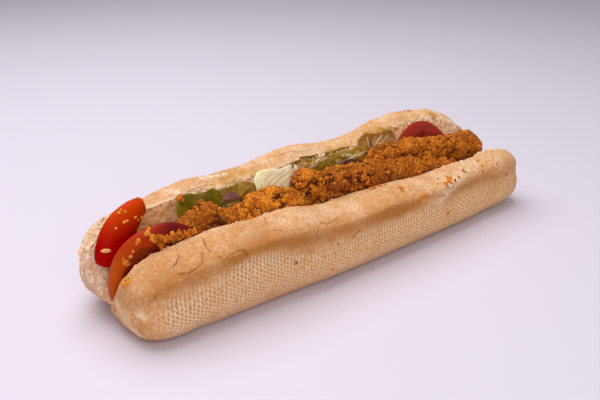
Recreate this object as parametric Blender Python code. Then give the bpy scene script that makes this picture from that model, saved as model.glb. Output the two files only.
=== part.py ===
# A chicken fillet roll: a demi baguette cut from the top, opened on its hinge and filled.
# X runs along the roll, Y across it, Z up. The origin is on the table below its middle.
# Every length here is in millimetres. MM turns it into metres when a mesh is made.
import math

import bmesh
import bpy
from mathutils import Matrix, Vector, noise

MM = 0.001
TOUCH_GAP = 0.4

# Bread: the two halves lean apart from a hinge at Y 0. A half is described by its
# distance W out from the hinge plane. The near half goes to -Y, the far half to +Y.
HINGE_OVERLAP = 5.0
HINGE_FLOOR = 2.0
HINGE_GROOVE = 1.4
CUT_FOOT = 5.0
BASE_INNER = 8.0
RING_STEP = 7.5
CRUST_LUMP = 0.9
CRUST_LUMP_SIZE = 27.0
CRUST_FROM = (2.0, 4.0)
CRUST_CENTRE = (8.0, 16.0)
CREST_EASE = (0.4, 0.85)
SHOULDER_IN = 2.5
SHOULDER_DROP = 0.16
CHEEK_IN = 2.8
WAIST_IN = 1.0
WALL_IN = 0.9
WALL_TOP = 0.66
WALL_LOW = 0.34
FOOT_IN = 6.5
FOOT_RISE = 1.8
BASE_IN = 12.0
BASE_MID = 4.0

NEAR = {
    "side": -1.0,
    "ends": (-132.5, 145.0),
    "end_length": (22.0, 24.0),
    "end_power": (3.0, 3.0),
    "end_height": 17.0,
    "end_out": 11.0,
    "rim_reach": [(-132, 14), (145, 14)],
    "rim": [(-132, 34), (-113, 37), (-97, 39.5), (-81, 40.5), (-64, 39.5), (-38, 40), (-23, 36.5),
            (-13, 35), (-3, 36), (36, 35.5), (60, 34), (108, 34.5), (115, 36.5), (128, 35), (145, 34)],
    "crest_out": 4.0,
    "crest": [(-132, 35.5), (-113, 38.5), (-97, 41), (-81, 42), (-64, 41), (-38, 41.5), (-23, 38),
              (-13, 36.5), (-3, 37.5), (36, 37), (60, 35.5), (108, 36), (115, 38), (128, 36.5), (145, 35.5)],
    "width": [(-132, 38), (-100, 38.5), (0, 38.5), (40, 36.5), (80, 34), (112, 31), (145, 29)],
    "waist": [(-132, 22), (-115, 24), (-97, 27), (-79, 29), (-60, 31), (-50, 30), (-30, 27), (-9, 26),
              (19, 27), (80, 26), (108, 25), (145, 24)],
    "waist_depth": 2.2,
}
FAR = {
    "side": 1.0,
    "ends": (-137.0, 137.0),
    "end_length": (34.0, 27.0),
    "end_power": (2.2, 2.3),
    "end_height": 27.0,
    "end_out": 0.0,
    "rim_reach": [(-137, 15), (40, 15), (70, 18), (138, 18)],
    "rim": [(-137, 44), (-120, 45), (-97, 46), (-88, 46.8), (-78, 48), (-59, 46.5), (-44, 46.5), (-29, 47.5),
            (-10, 49), (4, 49.5), (34, 48.5), (45, 50), (57, 52), (96, 53), (107, 51.5), (120, 48.5),
            (138, 46)],
    "crest_out": 12.0,
    "crest": [(-137, 40), (-120, 43), (-98, 45.5), (-88, 48.5), (-73, 50.5), (-51, 49.5), (-29, 50),
              (-12, 53), (0, 54.5), (24, 51.5), (38, 51), (46, 52.2), (64, 55.8), (86, 57.8), (104, 56),
              (121, 52.5), (138, 49)],
    "width": [(-137, 39), (-60, 42), (60, 43), (138, 39)],
    "waist": [(-137, 28), (-60, 31), (0, 33), (80, 34), (138, 29)],
    "waist_depth": 2.0,
}

# The pinch in the near half's crust, a shallow fold that runs down to the left.
PINCH_TOP = (92.0, 36.0)
PINCH_FOOT = (58.0, 14.0)
PINCH_DEPTH = 2.2
PINCH_REACH = 26.0
PINCH_LEAD = 5.0
PINCH_LOWEST = 10.0
PINCH_MIDDLE = 25.0
PINCH_TALL = 8.0
PINCH_FROM = 24.0

# Chicken strips. Each has points along its middle, with a half width and a half height.
STRIP_RING_STEP = 4.0
STRIP_SIDES = 16
CRAG_DEPTH = 2.1
CRAG_SIZE = 9.0
CRAG_MEAN = 0.45
CRAG_FINE = 2.3
STRIP_LEAN = 1.2
STRIP_LEAN_SIZE = 6.0
STRIP_LEAN_SEED = (31.0, 7.0, 2.0)
STRIP_TIP = 0.7
CHICKEN = {
    "chicken_left": [(-112, -7.5, 38, 2.4, 2.4), (-100, -6, 36.5, 3.5, 4), (-90, -4, 36, 7, 8),
                     (-77, -4, 38.5, 9, 12), (-68, -4, 36, 8, 9.5), (-58, -4, 34, 5, 6)],
    "chicken_middle": [(-65, -5, 34, 4, 5), (-52, -5, 35, 9, 11.5), (-40, -5, 36, 9.5, 13),
                       (-27, -5.5, 35, 8.5, 10), (-17, -6, 33, 6, 7.5)],
    "chicken_lump": [(-21, -2.5, 41, 4.5, 8), (-14, -3, 41, 8.5, 11.5), (-6, -4, 38.5, 9.5, 10.5),
                     (4, -5, 35, 7, 8.5), (11, -5, 33, 4, 5)],
    "chicken_back": [(34, 3, 38, 3.5, 4.5), (45, 3, 39, 8, 11), (62, 3, 39.5, 8.5, 11.5),
                     (80, 3, 38, 8.5, 10), (100, 2.5, 36, 8.5, 8.8), (113, 2, 35.5, 8.5, 8.6),
                     (124, 1.5, 35.5, 8, 8.5), (131, 1, 32.5, 5, 5.5)],
    "chicken_front": [(-14, -7, 42, 3.5, 4), (-6, -7.5, 41, 7, 9), (12, -7.5, 38, 8, 11),
                      (33, -7.5, 36, 8, 11), (55, -7.5, 34, 8, 10), (78, -7.5, 31, 8, 9.5),
                      (96, -7.5, 28, 6, 7), (106, -7, 26, 3, 3.5)],
}

# Tomato slices are round, cut where the bread closes under them.
SLICE_SIDES = 40
SLICE_PROFILE = [(0.0, 0.5), (0.55, 0.5), (0.88, 0.47), (0.97, 0.3), (1.0, 0.0), (0.97, -0.3),
                 (0.88, -0.47), (0.55, -0.5), (0.0, -0.5)]
SLICE_RIPPLES = [(0.025, 3.0, 0.7), (0.012, 5.0, 0.0)]
TOMATO_SLICES = {
    "tomato_slice_left": {"centre": (-106, -5.5, 24), "radius": 26, "thick": 6.5, "lean": 14, "turn": -6},
    "tomato_slice_right": {"centre": (91, 9, 27), "radius": 27.5, "thick": 5.5, "lean": -20, "turn": 0},
}
TOMATO_WEDGE = [(-128.5, 2.4, 29.5, 3.0, 4.8), (-127, 3.2, 33, 4.8, 7.8), (-122.5, 4.6, 39, 5.8, 9.4),
                (-118, 6.0, 44.2, 5.8, 9.0), (-112.5, 7.4, 48.3, 5.4, 7.4), (-107.5, 8.4, 50.5, 4.2, 5.8),
                (-104, 9.0, 51, 2.6, 4.2)]
WEDGE_SIDES = 18
WEDGE_BACK = 0.6
WEDGE_STEPS = 3

# Salad leaves stand against the far cut face, as wavy sheets of even thickness.
LEAF_THICK = 1.4
LEAF_STEP = 3.6
LEAF_ROWS = 6
LEAF_TOP_NOTCH = 3.5
LEAF_CORNER_DROP = 5.0
LEAF_SWAY = 1.6
LEAF_TURN = 1.7
LEAF_FOOT_WAVE = 0.35
LEAF_NOTCHES = 3.1
LEAVES = {
    "lettuce_green": {"x": (-88, -60), "z": (30, 51), "y": (3, 9), "wave": 2.2, "waves": 1.6, "seed": 3},
    "lettuce_olive": {"x": (-66, -35), "z": (31, 49), "y": (3.5, 10), "wave": 1.6, "waves": 2.1, "seed": 11},
    "lettuce_pale": {"x": (-39, -9), "z": (31, 54), "y": (3.5, 8), "wave": 2.2, "waves": 1.4, "seed": 17},
    "lettuce_shred": {"x": (-7, 42), "z": (30, 49.5), "y": (4, 11), "wave": 1.7, "waves": 3.1, "seed": 23},
    "lettuce_white": {"x": (37, 68), "z": (34, 56), "y": (9.5, 13), "wave": 1.6, "waves": 1.5, "seed": 29},
}

# Red onion, in short curved strips.
ONION_WIDE = 5.0
ONION_THICK = 2.2
ONION_STEPS = 10
ONION_SIDES = 8
ONION_END = 0.45
ONION_TIP = 0.06
ONIONS = {
    "onion_left": [(-100, 0, 42), (-93, 1.5, 38), (-86, 3, 32)],
    "onion_middle": [(-63, 3, 45), (-57, 3, 45.5), (-51, 3.5, 42)],
    "onion_right": [(12, 3, 44), (22, 3, 45.5), (33, 3, 43)],
}


def clear_scene():
    for old in list(bpy.data.objects):
        bpy.data.objects.remove(old, do_unlink=True)


def material(name, colour, roughness, coat=0.0):
    made = bpy.data.materials.new(name)
    made.use_nodes = True
    shader = made.node_tree.nodes["Principled BSDF"]
    shader.inputs["Base Color"].default_value = (*colour, 1.0)
    shader.inputs["Roughness"].default_value = roughness
    shader.inputs["Metallic"].default_value = 0.0
    shader.inputs["Coat Weight"].default_value = coat
    made.diffuse_color = (*colour, 1.0)
    return made


def eased(table, x):
    # The value at x of a short table of (place, value), with a smooth step between its rows.
    if x <= table[0][0]:
        return table[0][1]
    for (x0, v0), (x1, v1) in zip(table, table[1:]):
        if x <= x1:
            t = (x - x0) / (x1 - x0)
            return v0 + (v1 - v0) * t * t * (3.0 - 2.0 * t)
    return table[-1][1]


def spline(p0, p1, p2, p3, t):
    # One point of a Catmull-Rom curve between p1 and p2.
    return tuple(
        0.5 * (2 * b + (c - a) * t + (2 * a - 5 * b + 4 * c - d) * t * t + (3 * b - a - 3 * c + d) * t ** 3)
        for a, b, c, d in zip(p0, p1, p2, p3)
    )


def cut_reach(half, x, z):
    # How far out from the hinge plane the cut face is at this place and height.
    rim = eased(half["rim"], x)
    reach = eased(half["rim_reach"], x)
    return -HINGE_OVERLAP + (reach + HINGE_OVERLAP) * (z - CUT_FOOT) / (rim - CUT_FOOT)


def half_outline(half, x):
    # The half's section at x, as (W, height, steps to the next point).
    rim = eased(half["rim"], x)
    reach = eased(half["rim_reach"], x)
    crest = eased(half["crest"], x)
    crest_at = reach + half["crest_out"]
    width = eased(half["width"], x)
    waist = eased(half["waist"], x)
    mid = 0.5 * (CUT_FOOT + rim)
    return [
        (-HINGE_OVERLAP, HINGE_FLOOR, 1),
        (-HINGE_OVERLAP, CUT_FOOT, 1),
        (cut_reach(half, x, 0.5 * (CUT_FOOT + mid)), 0.5 * (CUT_FOOT + mid), 1),
        (cut_reach(half, x, mid), mid, 1),
        (cut_reach(half, x, 0.5 * (mid + rim)), 0.5 * (mid + rim), 1),
        (reach, rim, 1),
        (crest_at - CREST_EASE[0] * half["crest_out"], rim + CREST_EASE[1] * (crest - rim), 1),
        (crest_at, crest, 2),
        (0.5 * (crest_at + width - SHOULDER_IN), crest - SHOULDER_DROP * (crest - waist), 2),
        (width - CHEEK_IN, waist + 0.5 * (crest - waist), 2),
        (width - WAIST_IN - half["waist_depth"], waist, 2),
        (width - WALL_IN, WALL_TOP * waist, 2),
        (width - WALL_IN, WALL_LOW * waist, 2),
        (width - FOOT_IN, FOOT_RISE, 2),
        (width - BASE_IN, 0.0, 1),
        (0.5 * (width + BASE_INNER) - BASE_MID, 0.0, 1),
        (BASE_INNER, 0.0, 1),
        (0.0, HINGE_GROOVE, 1),
    ]


def sampled_outline(outline):
    points = []
    count = len(outline)
    for i, (w, z, steps) in enumerate(outline):
        around = [outline[(i + k) % count][:2] for k in (-1, 0, 1, 2)]
        for step in range(steps):
            points.append(spline(*around, step / steps))
    return points


def pinch(x, z):
    # How deep the near crust is drawn in, right of the fold's slanting line.
    t = (z - PINCH_FOOT[1]) / (PINCH_TOP[1] - PINCH_FOOT[1])
    line = PINCH_FOOT[0] + (PINCH_TOP[0] - PINCH_FOOT[0]) * t
    past = x - line
    if past <= -PINCH_LEAD or past >= PINCH_REACH or z < PINCH_LOWEST:
        return 0.0
    edge = min(0.5 * (past + PINCH_LEAD) / PINCH_LEAD, 1.0)
    fade = 0.5 * (1.0 + math.cos(math.pi * max(past, 0.0) / PINCH_REACH))
    tall = math.exp(-(((z - PINCH_MIDDLE) / PINCH_TALL) ** 2))
    return PINCH_DEPTH * edge * fade * tall


def half_ring(half, x, grow):
    # The closed ring of points of one half at x. Near an end it shrinks towards its cut face.
    left, right = half["ends"]
    from_end, side = min((x - left, 0), (right - x, 1))
    length = half["end_length"][side]
    power = half["end_power"][side]
    t = max(0.0, 1.0 - from_end / length)
    scale = max(0.0, 1.0 - t ** power) ** (1.0 / power)
    mid_z = half["end_height"]
    mid_w = cut_reach(half, x, mid_z) + half["end_out"]
    ring = []
    for w, z in sampled_outline(half_outline(half, x)):
        crust = w > eased(half["rim_reach"], x) + CRUST_FROM[0] and z > CRUST_FROM[1]
        if crust:
            lump = noise.noise(Vector((x, half["side"] * w, z)) / CRUST_LUMP_SIZE)
            out = Vector((w - 0.4 * mid_w - CRUST_CENTRE[0], z - CRUST_CENTRE[1])).normalized()
            push = CRUST_LUMP * lump
            if half is NEAR and w > PINCH_FROM:
                push -= pinch(x, z)
            w += out.x * push
            z += out.y * push
        z = max(z, 0.0)
        ring.append((mid_w + (w - mid_w) * scale, mid_z + (z - mid_z) * scale))
    if grow:
        ring = grown_ring(ring, grow)
    return [(x, half["side"] * w, z) for w, z in ring]


def grown_ring(ring, grow):
    # Each point moved out by the mean of its two sides' normals. The ring runs clockwise from its foot.
    count = len(ring)
    out = []
    for i in range(count):
        before = Vector(ring[i - 1])
        after = Vector(ring[(i + 1) % count])
        along = after - before
        if along.length < 1e-6:
            out.append(ring[i])
            continue
        along.normalize()
        out.append((ring[i][0] - along.y * grow, ring[i][1] + along.x * grow))
    return out


def stations(first, last, end_lengths, step):
    # Places along X, closer together where an end rounds off.
    near_end = (0.012, 0.05, 0.13, 0.26, 0.42, 0.62, 0.84)
    places = [first + f * end_lengths[0] for f in near_end]
    start = first + end_lengths[0]
    stop = last - end_lengths[1]
    count = max(1, round((stop - start) / step))
    places += [start + (stop - start) * i / count for i in range(count + 1)]
    places += [last - f * end_lengths[1] for f in reversed(near_end)]
    return places


def loft(name, rings, first_tip, last_tip):
    # A closed mesh through rings of equal count, with a tip point at each end.
    shape = bmesh.new()
    made = [[shape.verts.new(Vector(p) * MM) for p in ring] for ring in rings]
    for ring, after in zip(made, made[1:]):
        for i in range(len(ring)):
            j = (i + 1) % len(ring)
            shape.faces.new((ring[i], ring[j], after[j], after[i]))
    for ring, tip, turn in ((made[0], first_tip, 1), (made[-1], last_tip, -1)):
        point = shape.verts.new(Vector(tip) * MM)
        for i in range(len(ring)):
            pair = (ring[i], ring[(i + 1) % len(ring)])[::turn]
            shape.faces.new((point, *reversed(pair)))
    bmesh.ops.triangulate(shape, faces=shape.faces[:])
    bmesh.ops.recalc_face_normals(shape, faces=shape.faces[:])
    return finished(name, shape)


def finished(name, shape):
    mesh = bpy.data.meshes.new(name)
    shape.to_mesh(mesh)
    shape.free()
    made = bpy.data.objects.new(name, mesh)
    bpy.context.scene.collection.objects.link(made)
    return made


def bread_half(name, half, grow=0.0):
    left, right = half["ends"]
    places = stations(left, right, half["end_length"], RING_STEP)
    rings = [half_ring(half, x, grow) for x in places]
    tips = []
    for x, out in ((left, -1), (right, 1)):
        tip_w = cut_reach(half, x, half["end_height"]) + half["end_out"]
        tips.append((x + out * grow, half["side"] * tip_w, half["end_height"]))
    return loft(name, rings, *tips)


def combined(target, tool, operation):
    # The Boolean of two objects, applied to the first. The second is kept for the caller to remove.
    cutter = target.modifiers.new(operation.lower(), "BOOLEAN")
    cutter.operation = operation
    cutter.solver = "EXACT"
    cutter.object = tool
    graph = bpy.context.evaluated_depsgraph_get()
    result = bpy.data.meshes.new_from_object(target.evaluated_get(graph))
    target.modifiers.remove(cutter)
    old = target.data
    target.data = result
    bpy.data.meshes.remove(old)


def removed(*helpers):
    for helper in helpers:
        mesh = helper.data
        bpy.data.objects.remove(helper, do_unlink=True)
        bpy.data.meshes.remove(mesh)


def largest_piece(obj):
    # Drops the loose scraps that a cut leaves, and merges points that lie on each other.
    shape = bmesh.new()
    shape.from_mesh(obj.data)
    bmesh.ops.triangulate(shape, faces=shape.faces[:])
    bmesh.ops.remove_doubles(shape, verts=shape.verts[:], dist=0.005 * MM)
    bmesh.ops.dissolve_degenerate(shape, edges=shape.edges[:], dist=0.003 * MM)
    bmesh.ops.triangulate(shape, faces=shape.faces[:])
    shape.verts.ensure_lookup_table()
    seen = set()
    groups = []
    for start in shape.verts:
        if start in seen:
            continue
        group = {start}
        todo = [start]
        while todo:
            for edge in todo.pop().link_edges:
                for vert in edge.verts:
                    if vert not in group:
                        group.add(vert)
                        todo.append(vert)
        seen |= group
        groups.append(group)
    keep = max(groups, key=len)
    bmesh.ops.delete(shape, geom=[v for v in shape.verts if v not in keep], context="VERTS")
    shape.to_mesh(obj.data)
    shape.free()


def fitted(obj, blockers):
    # Cuts the piece back to a small gap from everything that is already there.
    for blocker in blockers:
        combined(obj, blocker, "DIFFERENCE")
    largest_piece(obj)


def grown_copy(obj, grow):
    # A helper a little larger than the piece, for the gap to the next piece.
    mesh = obj.data.copy()
    shape = bmesh.new()
    shape.from_mesh(mesh)
    shape.normal_update()
    moves = [vert.normal * grow * MM for vert in shape.verts]
    for vert, move in zip(shape.verts, moves):
        vert.co += move
    shape.to_mesh(mesh)
    shape.free()
    helper = bpy.data.objects.new(obj.name + "_room", mesh)
    helper.hide_render = True
    helper.display_type = "WIRE"
    bpy.context.scene.collection.objects.link(helper)
    return helper


def crag(x, y, z):
    # The lumpy fried coating: rounded knobs with creases between them.
    place = Vector((x, y, z)) / CRAG_SIZE
    knob = 1.0 - 2.0 * abs(noise.noise(place))
    return CRAG_DEPTH * (knob - CRAG_MEAN) + 0.5 * CRAG_DEPTH * noise.noise(place * CRAG_FINE)


def chicken_strip(name, middle):
    # A lumpy strip through the points of its middle line, with rounded ends.
    count = len(middle)
    rings = []
    for i in range(count - 1):
        around = [middle[min(max(i + k, 0), count - 1)] for k in (-1, 0, 1, 2)]
        steps = max(2, round((middle[i + 1][0] - middle[i][0]) / STRIP_RING_STEP))
        for step in range(steps + (i == count - 2)):
            x, y, z, wide, tall = spline(*around, step / steps)
            ring = []
            for k in range(STRIP_SIDES):
                angle = 2.0 * math.pi * k / STRIP_SIDES
                out = Vector((0.0, math.cos(angle), math.sin(angle)))
                px, py, pz = x, y + wide * out.y, z + tall * out.z
                push = crag(px, py, pz) * min(1.0, wide / 6.0)
                spot = Vector((px, py, pz)) / STRIP_LEAN_SIZE + Vector(STRIP_LEAN_SEED)
                lean = STRIP_LEAN * noise.noise(spot)
                ring.append((px + lean, py + out.y * push, pz + out.z * push))
            rings.append(ring)
    first, last = middle[0], middle[-1]
    first_tip = (first[0] - STRIP_TIP * first[3], *first[1:3])
    last_tip = (last[0] + STRIP_TIP * last[3], *last[1:3])
    return loft(name, rings, first_tip, last_tip)


def placed(obj, centre, turns):
    # Turns the mesh about the three axes in order, then moves it to its centre.
    for axis, degrees in turns:
        obj.data.transform(Matrix.Rotation(math.radians(degrees), 4, axis))
    obj.data.transform(Matrix.Translation(Vector(centre) * MM))


def tomato_slice(name, size):
    # A round slice with a softly rounded skin, standing on edge.
    shape = bmesh.new()
    rings = []
    for along, across in SLICE_PROFILE:
        if along == 0.0:
            rings.append([shape.verts.new(Vector((0.0, across * size["thick"], 0.0)) * MM)])
            continue
        ring = []
        for k in range(SLICE_SIDES):
            angle = 2.0 * math.pi * k / SLICE_SIDES
            ripple = 1.0 + sum(high * math.cos(waves * angle + turn) for high, waves, turn in SLICE_RIPPLES)
            r = along * size["radius"] * ripple
            point = Vector((r * math.cos(angle), across * size["thick"], r * math.sin(angle)))
            ring.append(shape.verts.new(point * MM))
        rings.append(ring)
    for ring, after in zip(rings, rings[1:]):
        for k in range(SLICE_SIDES):
            j = (k + 1) % SLICE_SIDES
            corners = (ring[k % len(ring)], ring[j % len(ring)], after[j % len(after)], after[k % len(after)])
            shape.faces.new(list(dict.fromkeys(corners)))
    bmesh.ops.triangulate(shape, faces=shape.faces[:])
    bmesh.ops.recalc_face_normals(shape, faces=shape.faces[:])
    made = finished(name, shape)
    placed(made, size["centre"], (("X", size["lean"]), ("Z", size["turn"])))
    return made


def tomato_wedge(name, middle):
    # A curved wedge with its round skin to the front and a flatter cut side behind.
    rings = []
    count = len(middle)
    for i in range(count - 1):
        around = [middle[min(max(i + k, 0), count - 1)] for k in (-1, 0, 1, 2)]
        for step in range(WEDGE_STEPS + (i == count - 2)):
            x, y, z, thick, wide = spline(*around, step / WEDGE_STEPS)
            ahead = spline(*around, step / WEDGE_STEPS + 0.05)
            run = Vector((ahead[0] - x, 0.0, ahead[2] - z)).normalized()
            across = Vector((-run.z, 0.0, run.x))
            ring = []
            for k in range(WEDGE_SIDES):
                angle = 2.0 * math.pi * k / WEDGE_SIDES
                depth = -thick * math.cos(angle)
                if depth > 0.0:
                    depth *= WEDGE_BACK
                ring.append(Vector((x, y + depth, z)) + across * wide * math.sin(angle))
            rings.append(ring)
    first, last = Vector(middle[0][:3]), Vector(middle[-1][:3])
    run = (Vector(middle[1][:3]) - first).normalized()
    return loft(name, rings, first - run * 1.0, last + Vector((1.2, 0.0, -0.2)))


def leaf(name, size):
    # A wavy sheet of even thickness that stands in the gap, its top edge uneven.
    x0, x1 = size["x"]
    z0, z1 = size["z"]
    y0, y1 = size["y"]
    across = max(8, round((x1 - x0) / LEAF_STEP))
    up = LEAF_ROWS
    front = []
    for i in range(across + 1):
        s = i / across
        notch = abs(noise.noise(Vector((s * LEAF_NOTCHES, size["seed"], 0.0))))
        top = z1 - LEAF_TOP_NOTCH * notch - LEAF_CORNER_DROP * (2.0 * s - 1.0) ** 4
        column = []
        for j in range(up + 1):
            t = j / up
            x = x0 + (x1 - x0) * s + LEAF_SWAY * t * math.sin(5.0 * s + size["seed"])
            z = z0 + (top - z0) * t
            fold = math.sin(2.0 * math.pi * size["waves"] * s + LEAF_TURN * t + size["seed"])
            y = y0 + (y1 - y0) * t + size["wave"] * fold * (LEAF_FOOT_WAVE + (1.0 - LEAF_FOOT_WAVE) * t)
            column.append(Vector((x, y, z)))
        front.append(column)
    shape = bmesh.new()
    sides = []
    for shift in (-0.5, 0.5):
        move = Vector((0.0, shift * LEAF_THICK, 0.0))
        sides.append([[shape.verts.new((p + move) * MM) for p in column] for column in front])
    for i in range(across):
        for j in range(up):
            for grid, turn in ((sides[0], 1), (sides[1], -1)):
                a, b, c, d = grid[i][j], grid[i + 1][j], grid[i + 1][j + 1], grid[i][j + 1]
                shape.faces.new((a, b, c)[::turn])
                shape.faces.new((a, c, d)[::turn])
    edge = [(i, 0) for i in range(across)] + [(across, j) for j in range(up)]
    edge += [(across - i, up) for i in range(across)] + [(0, up - j) for j in range(up)]
    for (i, j), (k, m) in zip(edge, edge[1:] + edge[:1]):
        a, b = sides[0][i][j], sides[0][k][m]
        c, d = sides[1][k][m], sides[1][i][j]
        shape.faces.new((b, a, d))
        shape.faces.new((b, d, c))
    bmesh.ops.recalc_face_normals(shape, faces=shape.faces[:])
    return finished(name, shape)


def onion_strip(name, middle):
    # A curved strip of one onion layer, through three points.
    rings = []
    a, b, c = (Vector(p) for p in middle)
    for step in range(ONION_STEPS + 1):
        t = step / ONION_STEPS
        p = a * (1 - t) * (1 - 2 * t) + b * 4 * t * (1 - t) + c * t * (2 * t - 1)
        narrow = ONION_END + (1.0 - ONION_END) * math.sin(math.pi * min(max(t, ONION_TIP), 1.0 - ONION_TIP))
        ring = []
        for k in range(ONION_SIDES):
            angle = 2.0 * math.pi * k / ONION_SIDES
            ring.append((p.x, p.y + 0.5 * ONION_THICK * narrow * math.cos(angle),
                         p.z + 0.5 * ONION_WIDE * narrow * math.sin(angle)))
        rings.append(ring)
    return loft(name, rings, a + Vector((-0.6, 0, 0)), c + Vector((0.6, 0, 0)))


def centred(objects):
    # Moves every mesh so that the origin is below the middle of the whole.
    corners = [vert.co for obj in objects for vert in obj.data.vertices]
    shift = [-0.5 * (min(c[i] for c in corners) + max(c[i] for c in corners)) for i in (0, 1)]
    for obj in objects:
        obj.data.transform(Matrix.Translation((*shift, 0.0)))
    print("moved by", [round(value / MM, 3) for value in shift], "mm")


def build():
    clear_scene()
    crust = material("crust", (0.62, 0.36, 0.16), 0.7)
    fried = material("fried_coating", (0.45, 0.14, 0.02), 0.5, 0.2)
    tomato = material("tomato", (0.5, 0.03, 0.01), 0.25, 0.5)
    leaf_green = material("leaf_green", (0.17, 0.24, 0.02), 0.45)
    leaf_pale = material("leaf_pale", (0.55, 0.58, 0.32), 0.45)
    onion = material("red_onion", (0.22, 0.06, 0.12), 0.35)

    bread = bread_half("bread", NEAR)
    other = bread_half("bread_far_half", FAR)
    combined(bread, other, "UNION")
    removed(other)
    largest_piece(bread)
    bread.data.materials.clear()
    bread.data.materials.append(crust)

    room = [bread_half("near_room", NEAR, TOUCH_GAP), bread_half("far_room", FAR, TOUCH_GAP)]
    pieces = []

    def add(piece, look):
        fitted(piece, room)
        piece.data.materials.clear()
        piece.data.materials.append(look)
        piece.data.shade_smooth()
        room.append(grown_copy(piece, TOUCH_GAP))
        pieces.append(piece)

    for name, size in TOMATO_SLICES.items():
        add(tomato_slice(name, size), tomato)
    add(tomato_wedge("tomato_wedge", TOMATO_WEDGE), tomato)
    for name, middle in CHICKEN.items():
        add(chicken_strip(name, middle), fried)
    for name, size in LEAVES.items():
        pale = name in ("lettuce_pale", "lettuce_white")
        add(leaf(name, size), leaf_pale if pale else leaf_green)
    for name, middle in ONIONS.items():
        add(onion_strip(name, middle), onion)
    removed(*room)
    bread.data.shade_smooth()
    centred([bread, *pieces])


build()
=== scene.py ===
# A chicken fillet roll: crusty bread with fried strips, tomato, salad and red onion.
# Lengths in the dictionaries are millimetres, pixels are of the 600 by 400 photograph.
import math
import random
from contextlib import contextmanager

import bpy
import numpy as np
from mathutils import Matrix, Vector
from mathutils.bvhtree import BVHTree


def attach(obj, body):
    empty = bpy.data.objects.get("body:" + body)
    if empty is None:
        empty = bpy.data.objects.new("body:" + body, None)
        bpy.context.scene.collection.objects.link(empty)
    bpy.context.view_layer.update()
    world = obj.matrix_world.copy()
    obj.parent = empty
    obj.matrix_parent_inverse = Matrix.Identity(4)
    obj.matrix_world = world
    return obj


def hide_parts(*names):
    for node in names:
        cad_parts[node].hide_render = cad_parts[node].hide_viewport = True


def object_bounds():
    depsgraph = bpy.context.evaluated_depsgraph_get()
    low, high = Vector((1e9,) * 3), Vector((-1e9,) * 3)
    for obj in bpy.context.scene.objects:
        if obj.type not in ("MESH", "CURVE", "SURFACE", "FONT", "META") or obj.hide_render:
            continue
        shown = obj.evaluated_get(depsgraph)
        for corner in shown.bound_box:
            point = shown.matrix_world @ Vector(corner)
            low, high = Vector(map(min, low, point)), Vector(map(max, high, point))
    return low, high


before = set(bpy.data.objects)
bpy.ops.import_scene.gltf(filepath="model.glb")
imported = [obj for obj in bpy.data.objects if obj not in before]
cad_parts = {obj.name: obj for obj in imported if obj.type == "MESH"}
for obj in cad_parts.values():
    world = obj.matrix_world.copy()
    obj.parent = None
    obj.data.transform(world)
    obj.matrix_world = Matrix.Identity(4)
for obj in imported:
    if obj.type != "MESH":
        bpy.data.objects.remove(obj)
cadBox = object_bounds()
scene = bpy.context.scene
mm = 0.001
print("frame loaded", len(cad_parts), "nodes")


# Camera, light and floor.
photo = {"azimuth": -38.8, "elevation": 22.6, "distance": 473.77, "target": (-4.57, 16.34, 23.75),
         "lens": 50.0, "sensor": 36.0, "width": 600, "height": 400}
azimuth, elevation = math.radians(photo["azimuth"]), math.radians(photo["elevation"])
back = Vector((math.sin(azimuth) * math.cos(elevation), -math.cos(azimuth) * math.cos(elevation),
               math.sin(elevation)))
right = Vector((math.cos(azimuth), math.sin(azimuth), 0.0))
eye = Vector(photo["target"]) * mm + back * photo["distance"] * mm


def pickOnly(obj):
    bpy.ops.object.select_all(action="DESELECT")
    obj.select_set(True)
    bpy.context.view_layer.objects.active = obj


@contextmanager
def editing(obj):
    # Edit mode with every point chosen.
    pickOnly(obj)
    bpy.ops.object.mode_set(mode="EDIT")
    bpy.ops.mesh.select_all(action="SELECT")
    yield
    bpy.ops.object.mode_set(mode="OBJECT")


def addCamera():
    bpy.ops.object.camera_add(location=eye)
    camera = bpy.context.object
    camera.name = "photoCamera"
    camera.rotation_euler = (-back).to_track_quat("-Z", "Y").to_euler()
    camera.data.lens = photo["lens"]
    camera.data.sensor_width = photo["sensor"]
    scene.camera = camera


studio = {
    "softBoxes": [
        {"name": "overheadBox", "at": (-60, 250, 760), "aim": (20, 0, 20), "size": 900, "power": 7.2},
        {"name": "frontBox", "at": (-500, -950, 640), "aim": (0, 0, 30), "size": 1000, "power": 7.0},
    ],
    "sky": (0.95, 0.93, 1.0), "skyStrength": 0.28,
    "floor": (0.71, 0.65, 0.74), "floorSize": 7000,
}


def addStudio():
    scene.view_settings.view_transform = "Standard"
    for box in studio["softBoxes"]:
        place = Vector(box["at"]) * mm
        bpy.ops.object.light_add(type="AREA", location=place)
        light = bpy.context.object
        light.name = box["name"]
        light.rotation_euler = (Vector(box["aim"]) * mm - place).to_track_quat("-Z", "Y").to_euler()
        light.data.shape = "SQUARE"
        light.data.size = box["size"] * mm
        light.data.energy = box["power"]
    world = bpy.data.worlds.new("paleRoom")
    world.use_nodes = True
    world.node_tree.nodes["Background"].inputs["Color"].default_value = colour(studio["sky"])
    world.node_tree.nodes["Background"].inputs["Strength"].default_value = studio["skyStrength"]
    scene.world = world
    bpy.ops.mesh.primitive_plane_add(size=studio["floorSize"] * mm, location=(0, 0, 0))
    floor = bpy.context.object
    floor.name = "floor"
    floor.data.materials.append(plainMaterial("paleFloor", studio["floor"], 0.55))


# Small tools.
def placesOf(obj):
    found = np.empty(len(obj.data.vertices) * 3, np.float32)
    obj.data.vertices.foreach_get("co", found)
    return found.reshape(-1, 3).astype(float) / mm


def normalsOf(obj):
    found = np.empty(len(obj.data.vertices) * 3, np.float32)
    obj.data.vertex_normals.foreach_get("vector", found)
    return found.reshape(-1, 3).astype(float)


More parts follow.
